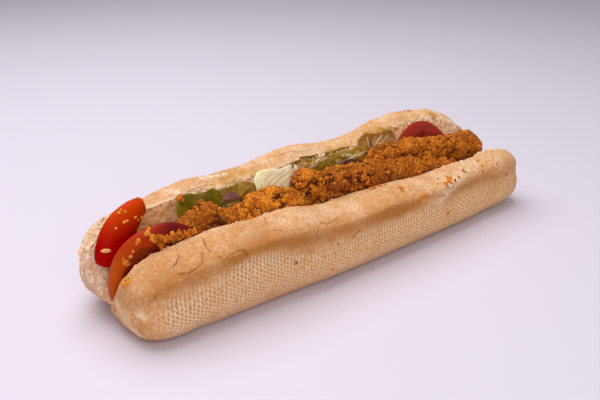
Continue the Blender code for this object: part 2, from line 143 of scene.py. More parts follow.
def movePlaces(obj, places):
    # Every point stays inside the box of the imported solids.
    low, high = np.array(cadBox[0]) / mm, np.array(cadBox[1]) / mm
    kept = np.clip(places, low, high)
    obj.data.vertices.foreach_set("co", (kept * mm).astype(np.float32).ravel())
    obj.data.update()


def setValues(obj, **values):
    # A number for each point of the mesh under each name, or one number for all of them.
    for name, numbers in values.items():
        made = obj.data.attributes.get(name) or obj.data.attributes.new(name, "FLOAT", "POINT")
        whole = np.empty(len(obj.data.vertices), np.float32)
        whole[:] = numbers
        made.data.foreach_set("value", whole)


def step(low, high, values):
    t = np.clip((values - low) / (high - low), 0.0, 1.0)
    return t * t * (3.0 - 2.0 * t)


def bell(values, width):
    return np.exp(-(values / width) ** 2)


def scrambled(cell, salt=0):
    # An even number from 0 to 1 for each whole place.
    mixed = cell[:, 0] * 374761393 + cell[:, 1] * 668265263 + cell[:, 2] * 974634777 + salt * 362437
    mixed = (mixed ^ (mixed >> 13)) * 1274126177
    mixed = (mixed ^ (mixed >> 15)) * 461845907
    return ((mixed ^ (mixed >> 16)) & 0xFFFF) / 65535.0


def cloud(places, size, salt=0):
    # Smooth noise from -1 to 1 with lumps of about this size.
    spot = places / size + 0.37 * salt
    cell = np.floor(spot).astype(np.int64)
    part = spot - cell
    part = part * part * (3.0 - 2.0 * part)
    total = np.zeros(len(places))
    for corner in range(8):
        on = np.array([corner & 1, corner >> 1 & 1, corner >> 2 & 1])
        total += np.prod(np.where(on, part, 1.0 - part), axis=1) * scrambled(cell + on, salt)
    return 2.0 * total - 1.0


def knobs(places, size, salt=0):
    # Distance to the nearest and second nearest of scattered seeds, and a number for the nearest one.
    spot = places / size
    cell = np.floor(spot).astype(np.int64)
    first = np.full(len(places), 9.0)
    second = first.copy()
    tone = np.zeros(len(places))
    for i in (-1, 0, 1):
        for j in (-1, 0, 1):
            for k in (-1, 0, 1):
                corner = cell + np.array([i, j, k])
                seed = corner + np.stack([scrambled(corner, salt + n) for n in (1, 2, 3)], axis=1)
                gap = np.sqrt(((seed - spot) ** 2).sum(axis=1))
                second = np.minimum(second, np.maximum(first, gap))
                tone = np.where(gap < first, scrambled(corner, salt + 4), tone)
                first = np.minimum(first, gap)
    return first, second, tone


def cadCopy(node, name):
    made = bpy.data.objects.new(name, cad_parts[node].data.copy())
    scene.collection.objects.link(made)
    made.data.name = name
    made.data.materials.clear()
    pickOnly(made)
    bpy.ops.mesh.customdata_custom_splitnormals_clear()
    with editing(made):
        bpy.ops.mesh.remove_doubles(threshold=0.00001)
    return made


def shaped(obj, kind, **values):
    # Adds a modifier and applies it at once.
    pickOnly(obj)
    made = obj.modifiers.new(kind.lower(), kind)
    for name, value in values.items():
        setattr(made, name, value)
    bpy.ops.object.modifier_apply(modifier=made.name)


def softened(obj):
    shaped(obj, "SUBSURF", levels=2, render_levels=2)


def remeshed(obj, size):
    shaped(obj, "REMESH", mode="VOXEL", voxel_size=size * mm, adaptivity=0.0, use_smooth_shade=True)


def creased(obj, degrees, amount):
    # Edges sharper than this keep their form when the object is softened.
    with editing(obj):
        bpy.ops.mesh.select_mode(type="EDGE")
        bpy.ops.mesh.select_all(action="DESELECT")
        bpy.ops.mesh.edges_select_sharp(sharpness=math.radians(degrees))
        bpy.ops.transform.edge_crease(value=amount)


def smoothed(obj):
    for face in obj.data.polygons:
        face.use_smooth = True


def refined(obj, wanted):
    # Halves the edges between the chosen points.
    with editing(obj):
        bpy.ops.mesh.select_mode(type="VERT")
        bpy.ops.mesh.select_all(action="DESELECT")
    obj.data.vertices.foreach_set("select", wanted)
    bpy.ops.object.mode_set(mode="EDIT")
    bpy.ops.mesh.select_mode(type="VERT")
    bpy.ops.mesh.subdivide(number_cuts=1)
    bpy.ops.object.mode_set(mode="OBJECT")


def treeOf(obj):
    return BVHTree.FromObject(obj, bpy.context.evaluated_depsgraph_get())


def behindPixel(u, v, trees):
    # The first surface seen through this pixel of the photograph: its place and normal.
    focal = photo["lens"] / photo["sensor"] * photo["width"]
    up = back.cross(right)
    ray = right * (u - photo["width"] / 2) / focal - up * (v - photo["height"] / 2) / focal - back
    best = None
    for tree in trees:
        place, normal, _, far = tree.ray_cast(eye, ray.normalized())
        if place is not None and (best is None or far < best[2]):
            best = (place, normal, far)
    return best


def pixelPath(pixels, trees):
    found = [behindPixel(u, v, trees) for u, v in pixels]
    return np.array([hit[0] for hit in found if hit]) / mm


def spotsOf(rows, trees):
    # Rows of (u, v, ...) as (place, ...), without those that miss.
    found = [(behindPixel(u, v, trees), rest) for u, v, *rest in rows]
    return [(np.array(hit[0]) / mm, *rest) for hit, rest in found if hit]


def nearPath(places, path, reach):
    # Distance of each place to a line of points, as far as the reach.
    best = np.full(len(places), reach)
    low, high = path.min(axis=0) - reach, path.max(axis=0) + reach
    inside = np.where(((places > low) & (places < high)).all(axis=1))[0]
    some = places[inside]
    gaps = best[inside]
    for start, end in zip(path, path[1:]):
        run = end - start
        t = np.clip((some - start) @ run / max(run @ run, 1e-9), 0.0, 1.0)
        gaps = np.minimum(gaps, np.linalg.norm(some - start - t[:, None] * run, axis=1))
    best[inside] = gaps
    return best


def finishPiece(obj, look, nodes):
    obj.data.materials.append(look)
    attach(obj, "root")
    if nodes:
        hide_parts(*nodes)


# Shader tools.
def put(tree, kind, sockets=None, **settings):
    made = tree.nodes.new("ShaderNode" + kind)
    for name, value in settings.items():
        setattr(made, name, value)
    for name, value in (sockets or {}).items():
        if isinstance(value, bpy.types.NodeSocket):
            tree.links.new(value, made.inputs[name])
        else:
            made.inputs[name].default_value = value
    return made


def colour(value):
    return value if isinstance(value, bpy.types.NodeSocket) else (*value, 1.0)


def blended(tree, share, first, second):
    return put(tree, "Mix", {0: share, 6: colour(first), 7: colour(second)}, data_type="RGBA").outputs[2]


def counted(tree, kind, first, second=0.0):
    return put(tree, "Math", {0: first, 1: second}, operation=kind).outputs[0]


def ranged(tree, value, low, high, outLow=0.0, outHigh=1.0):
    made = put(tree, "MapRange", {"Value": value, "From Min": low, "From Max": high,
                                  "To Min": outLow, "To Max": outHigh}, interpolation_type="SMOOTHSTEP")
    return made.outputs["Result"]


def attribute(tree, name):
    return put(tree, "Attribute", attribute_name=name).outputs["Fac"]


def objectPlace(tree):
    return put(tree, "TexCoord").outputs["Object"]


def newGroup(name, inputs, outputs):
    tree = bpy.data.node_groups.new(name, "ShaderNodeTree")
    tree.interface.new_socket("Place", in_out="INPUT", socket_type="NodeSocketVector")
    for label, value in inputs.items():
        tree.interface.new_socket(label, in_out="INPUT", socket_type="NodeSocketFloat").default_value = value
    for label, kind in outputs.items():
        tree.interface.new_socket(label, in_out="OUTPUT", socket_type="NodeSocket" + kind)
    return tree, tree.nodes.new("NodeGroupInput").outputs, tree.nodes.new("NodeGroupOutput").inputs


def useGroup(tree, group, sockets):
    return put(tree, "Group", sockets, node_tree=group)


def makePatches():
    # Soft patches from 0 to 1, with a size in metres.
    tree, given, out = newGroup("softPatches", {"Size": 0.01, "Low": 0.4, "High": 0.6}, {"Patches": "Float"})
    scale = counted(tree, "DIVIDE", 1.0, given["Size"])
    noise = put(tree, "TexNoise", {"Vector": given["Place"], "Scale": scale, "Detail": 3.0,
                                   "Roughness": 0.55})
    tree.links.new(ranged(tree, noise.outputs["Fac"], given["Low"], given["High"]), out["Patches"])
    return tree


def makeGrain():
    # A fine bumpy skin, from noise on top of a height.
    tree, given, out = newGroup("fineGrain", {"Size": 0.001, "Depth": 0.0001, "Height": 0.0},
                                {"Normal": "Vector", "Grain": "Float"})
    scale = counted(tree, "DIVIDE", 1.0, given["Size"])
    noise = put(tree, "TexNoise", {"Vector": given["Place"], "Scale": scale, "Detail": 4.0, "Roughness": 0.6})
    bumps = counted(tree, "MULTIPLY", noise.outputs["Fac"], given["Depth"])
    whole = counted(tree, "ADD", bumps, given["Height"])
    bump = put(tree, "Bump", {"Height": whole, "Strength": 1.0, "Distance": 1.0})
    tree.links.new(bump.outputs["Normal"], out["Normal"])
    tree.links.new(noise.outputs["Fac"], out["Grain"])
    return tree


def newMaterial(name, roughness, shine=0.5):
    made = bpy.data.materials.new(name)
    made.use_nodes = True
    shader = made.node_tree.nodes["Principled BSDF"]
    shader.inputs["Roughness"].default_value = roughness
    shader.inputs["Specular IOR Level"].default_value = shine
    return made, made.node_tree, shader


def patchesOn(tree):
    # A function that adds soft patches of a size in metres.
    place = objectPlace(tree)

    def patches(size, low, high):
        sockets = {"Place": place, "Size": size, "Low": low, "High": high}
        return useGroup(tree, softPatches, sockets).outputs["Patches"]

    return patches


def tinted(tree, mask, share, base, tint):
    return blended(tree, counted(tree, "MULTIPLY", mask, share), base, tint)


def layered(tree, base, patches, layers):
    # Each layer is a tint, its share, the value that masks it and the patches (size, low, high).
    for tint, share, mask, spread in layers:
        if mask:
            share = counted(tree, "MULTIPLY", attribute(tree, mask), share)
        if spread:
            share = counted(tree, "MULTIPLY", patches(*spread), share)
        base = blended(tree, share, base, tint)
    return base


def painted(tree, shader, base, size, depth, height=0.0):
    # Links the colour and a grain of this size and depth in metres, and gives the grain's noise.
    tree.links.new(base, shader.inputs["Base Color"])
    sockets = {"Place": objectPlace(tree), "Size": size, "Depth": depth, "Height": height}
    grain = useGroup(tree, fineGrain, sockets)
    tree.links.new(grain.outputs["Normal"], shader.inputs["Normal"])
    return grain.outputs["Grain"]


def plainMaterial(name, tint, roughness, shine=0.5):
    made, tree, shader = newMaterial(name, roughness, shine)
    base = blended(tree, patchesOn(tree)(0.3, 0.3, 0.7), [c * 0.99 for c in tint], tint)
    tree.links.new(base, shader.inputs["Base Color"])
    return made


softPatches = makePatches()
fineGrain = makeGrain()
addCamera()
addStudio()
print("camera, lights and floor are ready")


# Bread.
bread = {
    "hinge": -2.2, "edge": (48, 1.0), "voxel": {"breadNear": 0.75, "breadFar": 0.82},
    "waistPixels": [
        (140, 307), (148, 302), (170, 290), (208, 278), (240, 262), (269, 243), (290, 240), (320, 238),
        (351, 232), (390, 213), (412, 206), (440, 197), (466, 184), (497, 175), (508, 170),
    ],
    "farWaist": [(-141, 28), (-64, 31), (-4, 33), (76, 34), (134, 29)],
    "netStart": [
        (-130, 7), (-119, 5), (-105, 3.2), (-90, 0.5), (-78, 1.0), (-67, 5.3), (-52, 7.5), (-33, 6),
        (-20, 4.5), (0, 3.6), (10, 5.0), (20, 6.0), (34, 5.0), (50, 3.2), (130, 3),
    ],
    "brownCentre": [
        (-130, -2.5), (-91, -3.2), (-76, -1.6), (-66, 0.8), (-52, 1.4), (-38, 0), (-17, -2.2), (-2, -1.8),
        (13, 0.3), (25, 1.0), (37, 1.0), (80, 1.5), (140, 1.5),
    ],
    "brownShare": [
        (-130, 0.85), (-80, 0.9), (-66, 1.15), (-50, 1.0), (-35, 0.75), (-20, 0.75), (0, 0.9), (15, 1.2),
        (45, 0.95), (85, 0.8), (105, 0.55), (140, 0.55),
    ],
    "netEnds": (-130, -119, 124, 138), "netColumn": 2.13, "netRow": 1.9, "netTurn": 0.52, "netLean": 0.15,
    "netDepth": 0.18,
    "poreSize": 1.9, "poreDepth": 0.75, "crumbLump": 0.6, "rimRagged": 1.3, "rimWidth": 1.6,
    "flatCut": 0.76, "cutTop": 0.66, "tornFacing": 0.42, "leftEnd": -116,
    "tan": [(-145, 0.0), (-120, 0.0), (-114, 0.9), (-92, 0.9), (-86, 0.75), (102, 0.75), (110, 0.2),
            (145, 0.15)],
    "tanHeight": [(-145, 0), (-92, 0), (-84, 36), (25, 36), (40, 22), (145, 22)],
    "crackDepth": 0.55, "crackReach": 0.4, "crackLip": 0.12, "farCrack": 0.6,
    "brownWidths": (4.8, 5.2), "brownEnd": (-137, -122),
    "foldWidth": 4.2, "foldHeight": 0.4, "besideFold": (-9, -3), "besideWidth": 6.5, "besideShare": 0.75,
    "cracks": [
        [(179, 255), (178, 260), (174, 267), (176, 272), (181, 275), (189, 274), (195, 270), (199, 266),
         (203, 262), (203, 257), (202, 253)],
        [(203, 262), (205, 266), (206, 269)],
        [(181, 275), (190, 273), (194, 271), (201, 266), (203, 261)],
        [(203, 240), (206, 247), (211, 252)],
        [(219, 257), (223, 260), (229, 257), (236, 252), (244, 250), (247, 253), (249, 258), (252, 265)],
        [(145, 307), (151, 303), (156, 298), (158, 294)],
        [(264, 217), (266, 221), (268, 224)],
        [(271, 232), (275, 230), (281, 231)],
        [(317, 235), (319, 230), (321, 222)],
        [(318, 240), (319, 236)],
        [(322, 223), (328, 224), (333, 221), (338, 219)],
        [(353, 238), (357, 233), (361, 230)],
        [(425, 198), (431, 197), (437, 196), (444, 195)],
        [(493, 151), (493.5, 158), (493, 165), (492.5, 171)],
        [(446, 187), (450, 189), (454, 184)],
    ],
    "farCracks": [
        [(178, 185), (190, 180), (203, 178), (214, 174), (226, 172), (240, 167), (250, 166)],
        [(172, 198), (182, 194), (192, 190), (203, 187), (212, 184)],
        [(205, 182), (212, 179), (222, 179), (230, 176)],
        [(268, 158), (280, 156), (290, 152), (301, 152), (310, 150)],
        [(330, 141), (342, 136), (352, 134), (363, 129), (372, 127)],
    ],
    "flourPatches": [(141, 316, 3.4), (138, 314, 2.4), (145, 318, 2.2)],
    "palePatches": [
        (260, 160, 10), (244, 167, 8), (300, 151, 12), (318, 150, 8), (380, 119, 7), (170, 193, 7),
        (330, 211, 9), (308, 217, 8), (285, 222, 8), (350, 206, 9), (470, 164, 9), (497, 160, 8),
        (440, 178, 9), (420, 184, 7), (252, 234, 8),
    ],
    "beigePatches": [(127, 322, 9.0), (122, 314, 6.0), (133, 331, 7.0), (118, 306, 4.0)],
    "creamPatches": [
        (202, 178, 2.6), (209, 176, 3.0), (217, 175, 3.0), (225, 174, 2.4), (176, 192, 3.0),
        (436, 112, 3.0), (461, 168, 1.8), (468, 170, 1.8), (476, 171, 1.6), (452, 178, 2.0),
        (449, 186, 1.8),
    ],
    "foldLine": [(462, 172), (455, 182), (449, 190), (441, 201), (434, 212), (428, 220), (420, 226)],
    "stains": [
        (178, 203, 2.0, 0.5), (212, 186, 4.0, 0.5), (222, 181, 5.0, 0.6), (232, 177, 6.0, 0.6),
        (243, 173, 6.0, 0.6), (253, 170, 5.0, 0.5), (330, 149, 3.5, 0.5), (345, 145, 3.5, 0.5),
        (360, 142, 4.0, 0.6), (381, 131, 6.0, 0.9), (390, 128, 4.0, 0.8), (370, 134, 5.0, 0.8),
        (432, 115, 4.0, 0.8), (397, 128, 3.0, 0.7), (351, 145, 3.0, 0.4), (340, 147, 3.0, 0.4),
        (222, 186, 3.0, 0.4), (236, 184, 3.0, 0.4), (448, 213, 1.6, 0.6), (332, 269, 2.2, 0.6),
        (311, 252, 2.4, 0.4), (304, 262, 2.0, 0.4), (373, 187, 3.0, 0.7), (380, 186, 2.5, 0.7),
        (402, 189, 2.6, 0.7), (421, 199, 2.2, 0.6), (142, 333, 3.0, 0.3), (403, 117, 6.0, 0.3),
        (415, 115, 6.0, 0.3),
    ],
    "specks": [(338, 244, 0.9), (296.5, 263, 1.3), (115, 309, 1.0), (455, 182, 0.9), (466, 172, 0.8)],
    "tints": {
        "leftCrust": (0.73, 0.37, 0.165), "rightCrust": (0.80, 0.45, 0.21), "farCrust": (0.86, 0.54, 0.31),
        "leftNet": (0.87, 0.60, 0.37), "rightNet": (0.88, 0.56, 0.29), "netMark": (0.43, 0.185, 0.055),
        "paleSpeck": (0.92, 0.66, 0.42), "brownSpeck": (0.62, 0.30, 0.11),
        "crumb": (0.90, 0.64, 0.45), "crumbShade": (0.76, 0.44, 0.24),
        "tanShade": (0.60, 0.25, 0.075), "tan": (0.78, 0.42, 0.18),
    },
    "baked": [
        ((0.64, 0.285, 0.095), 0.7, None, (0.016, 0.35, 0.66)),
        ((0.91, 0.64, 0.43), 0.54, "pale", (0.005, 0.1, 0.45)),
        ((0.88, 0.60, 0.36), 0.5, None, (0.0045, 0.48, 0.7)),
        ((0.54, 0.245, 0.085), 0.5, None, (0.0026, 0.48, 0.7)),
        # Brown along the waist: partly the crust's own browning, partly painted shade in the hollow.
        ((0.46, 0.165, 0.028), 0.94, "brown", (0.006, -0.4, 0.45)),
        ((0.90, 0.66, 0.43), 0.75, "fold", None),
    ],
    "dusted": [
        ((0.92, 0.62, 0.35), 0.85, "beige", None),
        ((0.86, 0.63, 0.38), 1.0, "flour", (0.0022, 0.25, 0.55)),
        ((0.92, 0.76, 0.58), 1.0, "cream", (0.003, 0.3, 0.55)),
        ((0.47, 0.20, 0.06), 0.6, None, (0.0011, 0.45, 0.66)),
    ],
    # The dark tint in the cracks is painted shade in their grooves; the cream rim is the torn edge's own
    # colour.
    "broken": [((0.30, 0.105, 0.022), 0.95, "crack", None), ((0.92, 0.70, 0.47), 0.7, "rim", None)],
    "pitted": [
        # Painted shade in the pits of the crumb.
        ((0.48, 0.21, 0.085), 0.75, "pore", None),
        ((0.95, 0.80, 0.70), 0.6, None, (0.0013, 0.5, 0.66)),
        ((0.45, 0.18, 0.06), 0.5, None, (0.0016, 0.56, 0.7)),
    ],
    "soiled": [((0.50, 0.24, 0.02), 1.0, "stain", None), ((0.12, 0.06, 0.02), 1.0, "speck", None)],
}


def cutAndCrust(source):
    # Two trees, of the cut faces and of the crust, told apart by the way that the solid's faces point.
    corners = [v.co.copy() for v in source.data.vertices]
    cut, crust = [], []
    for face in source.data.polygons:
        side = -1.0 if face.center.y < bread["hinge"] * mm else 1.0
        if side > 0 and face.center.x < bread["leftEnd"] * mm:
            isCut = face.normal.dot(back) > bread["tornFacing"]
        else:
            isCut = -side * face.normal.y > bread["flatCut"] and 0.0 < face.normal.z < bread["cutTop"]
        faces = cut if isCut else crust
        faces.append(face.vertices[:])
    return BVHTree.FromPolygons(corners, cut), BVHTree.FromPolygons(corners, crust)


def distances(places, tree):
    return np.array([tree.find_nearest(Vector(p))[3] for p in places * mm]) / mm


def splitBread():
    source = cadCopy("bread", "breadSource")
    cutTree, crustTree = cutAndCrust(source)
    creased(source, *bread["edge"])
    softened(source)
    halves = []
    for name, side in (("breadNear", True), ("breadFar", False)):
        pickOnly(source)
        bpy.ops.object.duplicate()
        half = bpy.context.object
        half.name = half.data.name = name
        with editing(half):
            bpy.ops.mesh.bisect(plane_co=(0, bread["hinge"] * mm, 0), plane_no=(0, 1, 0), use_fill=True,
                                clear_outer=side, clear_inner=not side, threshold=0.000001)
        remeshed(half, bread["voxel"][name])
        halves.append(half)
    bpy.data.objects.remove(source)
    return halves, cutTree, crustTree


def tableAt(table, x):
    rows = np.array(table, float)
    return np.interp(x, rows[:, 0], rows[:, 1])


def edgeReach(places, side):
    # How far out the side wall stands at each place along the roll.
    width = 5.0
    bins = np.arange(-145, 146, width)
    which = np.clip(np.digitize(places[:, 0], bins) - 1, 0, len(bins) - 1)
    found = np.zeros(len(bins))
    np.maximum.at(found, which, side * places[:, 1])
    return np.interp(places[:, 0], bins + width / 2, found)


def closeTo(places, paths, reach):
    return np.any([nearPath(places, path, reach) < reach for path in paths], axis=0)


def netMarks(places, side, below, outer):
    # The net of the baking tray: where it shows, the two ways across it, and its topmost row.
    left0, left1, right0, right1 = bread["netEnds"]
    ends = step(left0, left1, places[:, 0]) * (1.0 - step(right0, right1, places[:, 0]))
    start = tableAt(bread["netStart"], places[:, 0])
    zone = outer * ends * step(start - 2.0, start + 2.5, below + 1.5 * cloud(places, 9.0, 21))
    zone *= 0.75 + 0.35 * cloud(places, 16.0, 22)
    sideWay = edgeReach(places, side) - side * places[:, 1]
    netU = places[:, 0] + 0.5 * cloud(places, 30.0, 23) + 0.25 * cloud(places, 9.0, 24)
    netV = places[:, 2] - np.maximum(sideWay, 0.0) + 0.4 * cloud(places, 18.0, 25)
    netU, netV = netU - bread["netLean"] * netV, netV + bread["netTurn"] * netU
    return zone, netU, netV, bell(np.maximum(below - start, 0.0), 6.0)


def crackLines(places, paths):
    # How deep each place lies in a crack, and how far the crust stands up beside it.
    wobble = [0.4 * cloud(places, 2.2, 40 + n) + 0.3 * cloud(places, 1.0, 46 + n) for n in range(3)]
    moved = places + np.stack(wobble, axis=1)
    amount = 0.65 + 0.5 * cloud(places, 4.0, 44)
    crack, lip = np.zeros(len(places)), np.zeros(len(places))
    for path in paths:
        gap = nearPath(moved, path, 2.0)
        crack = np.maximum(crack, bell(gap, bread["crackReach"]) * amount)
        lip += bread["crackLip"] * bell(gap - 1.0, 0.55)
    return crack, lip


def spotted(places, spot, size, noise, core=0.3):
    # From 1 in the core of a spot to 0 at its edge, which the noise makes uneven.
    return 1.0 - step(core * size, size, np.linalg.norm(places - spot, axis=1) + size * noise)


def spotValues(places, inCut, side, trees):
    # Patches of flour and pale crust, the browned cut, stains and specks.
    found = {name: np.zeros(len(places)) for name in ("flour", "beige", "cream", "pale", "stain", "speck")}
    for name in ("flour", "beige", "cream", "pale"):
        for spot, size in spotsOf(bread[name + "Patches"], trees):
            here = spotted(places, spot, size, 0.3 * cloud(places, 0.8 * size, 51))
            found[name] = np.maximum(found[name], here)
    found["pale"] = np.maximum(found["pale"], 0.8 * bell(inCut, 4.0))
    uneven = 0.45 * cloud(places, 2.4, 52)
    for spot, size, amount in spotsOf(bread["stains"], trees):
        found["stain"] = np.maximum(found["stain"], amount * spotted(places, spot, size, uneven))
    for spot, size in spotsOf(bread["specks"], trees):
        found["speck"] = np.maximum(found["speck"], spotted(places, spot, size, 0.0, 0.4))
    height = places[:, 2] - tableAt(bread["tanHeight"], places[:, 0]) + 2.0 * cloud(places, 5.0, 53)
    found["tan"] = tableAt(bread["tan"], places[:, 0]) * (side > 0) * step(0.0, 6.0, height)
    return found


def bakeBread(half, side, trees, cutTree, crustTree, waist):
    cracks = [pixelPath(pixels, trees) for pixels in bread["cracks" if side < 0 else "farCracks"]]
    places = placesOf(half)
    inCut = distances(places, crustTree) - distances(places, cutTree)
    rims = (np.abs(inCut) < 1.0) & (places[:, 2] > 12.0)
    refined(half, rims | closeTo(places, cracks, 1.3))
    refined(half, closeTo(placesOf(half), cracks, 0.7))
    places, normals = placesOf(half), normalsOf(half)
    inCut = distances(places, crustTree) - distances(places, cutTree)
    ragged = inCut + 0.9 * cloud(places, 3.0, 3) + 0.5 * cloud(places, 1.3, 5)
    crumb = step(-0.5, 0.5, ragged)
    rim = bell(inCut, bread["rimWidth"]) * step(14, 22, places[:, 2])
    push = rim * bread["rimRagged"] * (0.8 * cloud(places, 1.3, 14) + 0.8 * cloud(places, 3.4, 15) - 0.2)

    # The torn crumb: pits of two sizes, and soft lumps.
    lumpy = cloud(places, 3.7, 16)
    first, _, _ = knobs(places + 0.6 * lumpy[:, None], bread["poreSize"], 11)
    fine, _, _ = knobs(places, bread["poreSize"] * 0.45, 12)
    pores = np.clip(1.0 - first / 0.62, 0.0, 1.0) ** 0.8
    smallPores = np.clip(1.0 - fine / 0.6, 0.0, 1.0)
    lumps = 0.5 + 0.5 * cloud(places, 6.5, 13)
    push -= crumb * (bread["poreDepth"] * pores + 0.3 * smallPores + bread["crumbLump"] * lumps)

    # The marks of the net, the soft unevenness of the crust, and the brown band along the waist, which is
    # partly the crust's own browning and partly painted shade in the hollow.
    outer = step(12, 22, side * places[:, 1]) * (1.0 - crumb)
    below = tableAt(waist, places[:, 0]) - places[:, 2]
    netZone, netU, netV, netTop = netMarks(places, side, below, outer)
    column = 0.5 + 0.5 * np.cos(2 * np.pi * netU / bread["netColumn"])
    row = 0.5 + 0.5 * np.cos(2 * np.pi * netV / bread["netRow"])
    push -= netZone * bread["netDepth"] * column * (netTop + (1.0 - netTop) * row)
    push += (1.0 - crumb) * (0.32 * cloud(places, 11.0, 31) + 0.14 * cloud(places, 4.0, 32))
    grainy = 0.09 * cloud(places, 1.5, 33) + 0.08 * cloud(places, 2.6, 35)
    push += (1.0 - crumb) * (1.0 - netZone) * grainy
    under = below - tableAt(bread["brownCentre"], places[:, 0])
    brown = bell(under, np.where(under > 0.0, *bread["brownWidths"])) * outer
    brown *= tableAt(bread["brownShare"], places[:, 0]) + 0.3 * cloud(places, 13.0, 34)
    brown *= 0.25 + 0.75 * step(*bread["brownEnd"], places[:, 0])

    # Cracks on both halves, and the pinched fold on the near one.
    crack, lip = crackLines(places, cracks)
    crack *= 1.0 if side < 0 else bread["farCrack"]
    push += lip - crack * bread["crackDepth"]
    fold = np.zeros(len(places))
    if side < 0:
        fold = bell(nearPath(places, pixelPath(bread["foldLine"], trees), 12.0), bread["foldWidth"])
        push += bread["foldHeight"] * fold
        du, dv = bread["besideFold"]
        beside = pixelPath([(u + du, v + dv) for u, v in bread["foldLine"]], trees)
        brown *= 1.0 - bread["besideShare"] * bell(nearPath(places, beside, 16.0), bread["besideWidth"])
    movePlaces(half, places + normals * push[:, None])
    # The crack and pore values also darken the grooves and pits in the look: painted shade.
    setValues(half, crumb=crumb, rim=rim, netZone=netZone, netU=netU, netV=netV, netTop=netTop, brown=brown,
              crack=crack, fold=fold, pore=np.clip(pores + 0.5 * smallPores, 0, 1),
              **spotValues(places, inCut, side, trees))
    print(half.name, len(places), "points")


def makeBreadLook():
    made, tree, shader = newMaterial("bakedBread", 0.78, 0.15)
    patches, tints = patchesOn(tree), bread["tints"]
    zone = attribute(tree, "netZone")
    spot = put(tree, "SeparateXYZ", {"Vector": objectPlace(tree)}).outputs
    lengthwise = ranged(tree, spot["X"], -0.13, 0.11)
    crust = blended(tree, lengthwise, tints["leftCrust"], tints["rightCrust"])
    crust = blended(tree, ranged(tree, spot["Y"], 0.0, 0.03, 0.0, 0.4), crust, tints["farCrust"])
    crust = layered(tree, crust, patches, bread["baked"])
    columnTurn = counted(tree, "MULTIPLY", attribute(tree, "netU"), 2 * math.pi / bread["netColumn"])
    rowTurn = counted(tree, "MULTIPLY", attribute(tree, "netV"), 2 * math.pi / bread["netRow"])
    stripes = counted(tree, "MULTIPLY", attribute(tree, "netTop"), 0.6)
    dots = counted(tree, "MAXIMUM", ranged(tree, counted(tree, "COSINE", rowTurn), -0.6, 0.7), stripes)
    columns = ranged(tree, counted(tree, "COSINE", columnTurn), -0.6, 0.75)
    net = counted(tree, "MULTIPLY", columns, dots)
    lines = blended(tree, lengthwise, tints["leftNet"], tints["rightNet"])
    crust = tinted(tree, zone, 0.95, crust, blended(tree, net, lines, tints["netMark"]))
    crust = layered(tree, crust, patches, bread["dusted"])
    # The speckles darken inside the waist band, which is partly painted shade.
    brown = counted(tree, "MULTIPLY", attribute(tree, "brown"), patches(0.006, -0.4, 0.45))
    lightest = blended(tree, brown, tints["paleSpeck"], tints["brownSpeck"])
    crust = tinted(tree, patches(0.0014, 0.50, 0.68), 0.4, crust, lightest)
    # Painted shade in the cracks, and the cream colour of the torn rim.
    crust = layered(tree, crust, patches, bread["broken"])
    inner = blended(tree, patches(0.006, 0.35, 0.7), tints["crumb"], tints["crumbShade"])
    # Painted shade in the pores, then pale and dark flecks of crumb.
    inner = layered(tree, inner, patches, bread["pitted"])
    tanned = blended(tree, patches(0.004, 0.35, 0.7), tints["tanShade"], tints["tan"])
    inner = blended(tree, attribute(tree, "tan"), inner, tanned)
    whole = blended(tree, attribute(tree, "crumb"), crust, inner)
    whole = layered(tree, whole, patches, bread["soiled"])
    netHeight = counted(tree, "MULTIPLY", counted(tree, "MULTIPLY", net, zone), -0.00018)
    noise = painted(tree, shader, whole, 0.0012, 0.00055, netHeight)
    tree.links.new(ranged(tree, noise, 0.3, 0.7, 0.62, 0.86), shader.inputs["Roughness"])
    return made


def makeBread():
    (near, far), cutTree, crustTree = splitBread()
    trees = [treeOf(near), treeOf(far)]
    waist = pixelPath(bread["waistPixels"], trees)
    nearWaist = [(-141, waist[0][2] - 2)] + [(p[0], p[2]) for p in waist]
    look = makeBreadLook()
    for half, side, table in ((near, -1.0, nearWaist), (far, 1.0, bread["farWaist"])):
        bakeBread(half, side, trees, cutTree, crustTree, table)
        finishPiece(half, look, ["bread"])
    return near, far


breadNear, breadFar = makeBread()
print("bread is baked")


# Chicken.
chicken = {
    "names": {"chicken_left": "stripLeft", "chicken_middle": "stripMiddle", "chicken_lump": "stripLump",
              "chicken_back": "stripBack", "chicken_front": "stripFront"},
    "beside": {"chicken_back", "chicken_front"},
    "voxel": 0.55, "knob": 6.0, "knobHeight": 2.0, "small": 2.4, "smallHeight": 0.85,
    "fine": 1.0, "fineHeight": 0.42, "sink": 2.1, "gash": 0.8, "pressed": 0.9,
    # depth is a share of painted shade in deep brown, strongest on the left strip and on undersides.
    "depth": {"stripLeft": 1.0, "stripMiddle": 0.0, "stripLump": 0.1, "stripBack": 0.2, "stripFront": 0.65},
    # lift makes some strips lighter in tone: partly their paler frying, partly painted light.
    "lift": {"stripLeft": 0.0, "stripMiddle": 0.3, "stripLump": 0.2, "stripBack": 0.12, "stripFront": 0.0},
    "meet": 3.0, "meetDepth": 0.7, "close": 0.45,
    "flakes": 3000, "flakeSize": (0.28, 0.62),
    "tints": {
        "dark": (0.60, 0.138, 0.005), "light": (0.92, 0.305, 0.014), "deep": (0.17, 0.02, 0.001),
        # gap and crease are painted shade: between the grains, and in creases and joins.
        "gap": (0.22, 0.04, 0.003), "furrow": (0.20, 0.05, 0.006), "crease": (0.09, 0.015, 0.002),
        "burnt": (0.14, 0.027, 0.004),
    },
    "fried": [
        # Painted shade on the undersides.
        ((0.22, 0.04, 0.002), 0.3, "under", None),
        ((0.30, 0.055, 0.004), 0.6, None, (0.007, 0.45, 0.65)),
        ((0.88, 0.33, 0.035), 0.6, None, (0.0012, 0.5, 0.66)),
    ],
    "flakeTints": ((0.34, 0.07, 0.004), (0.66, 0.19, 0.010), (0.78, 0.30, 0.04)),
}


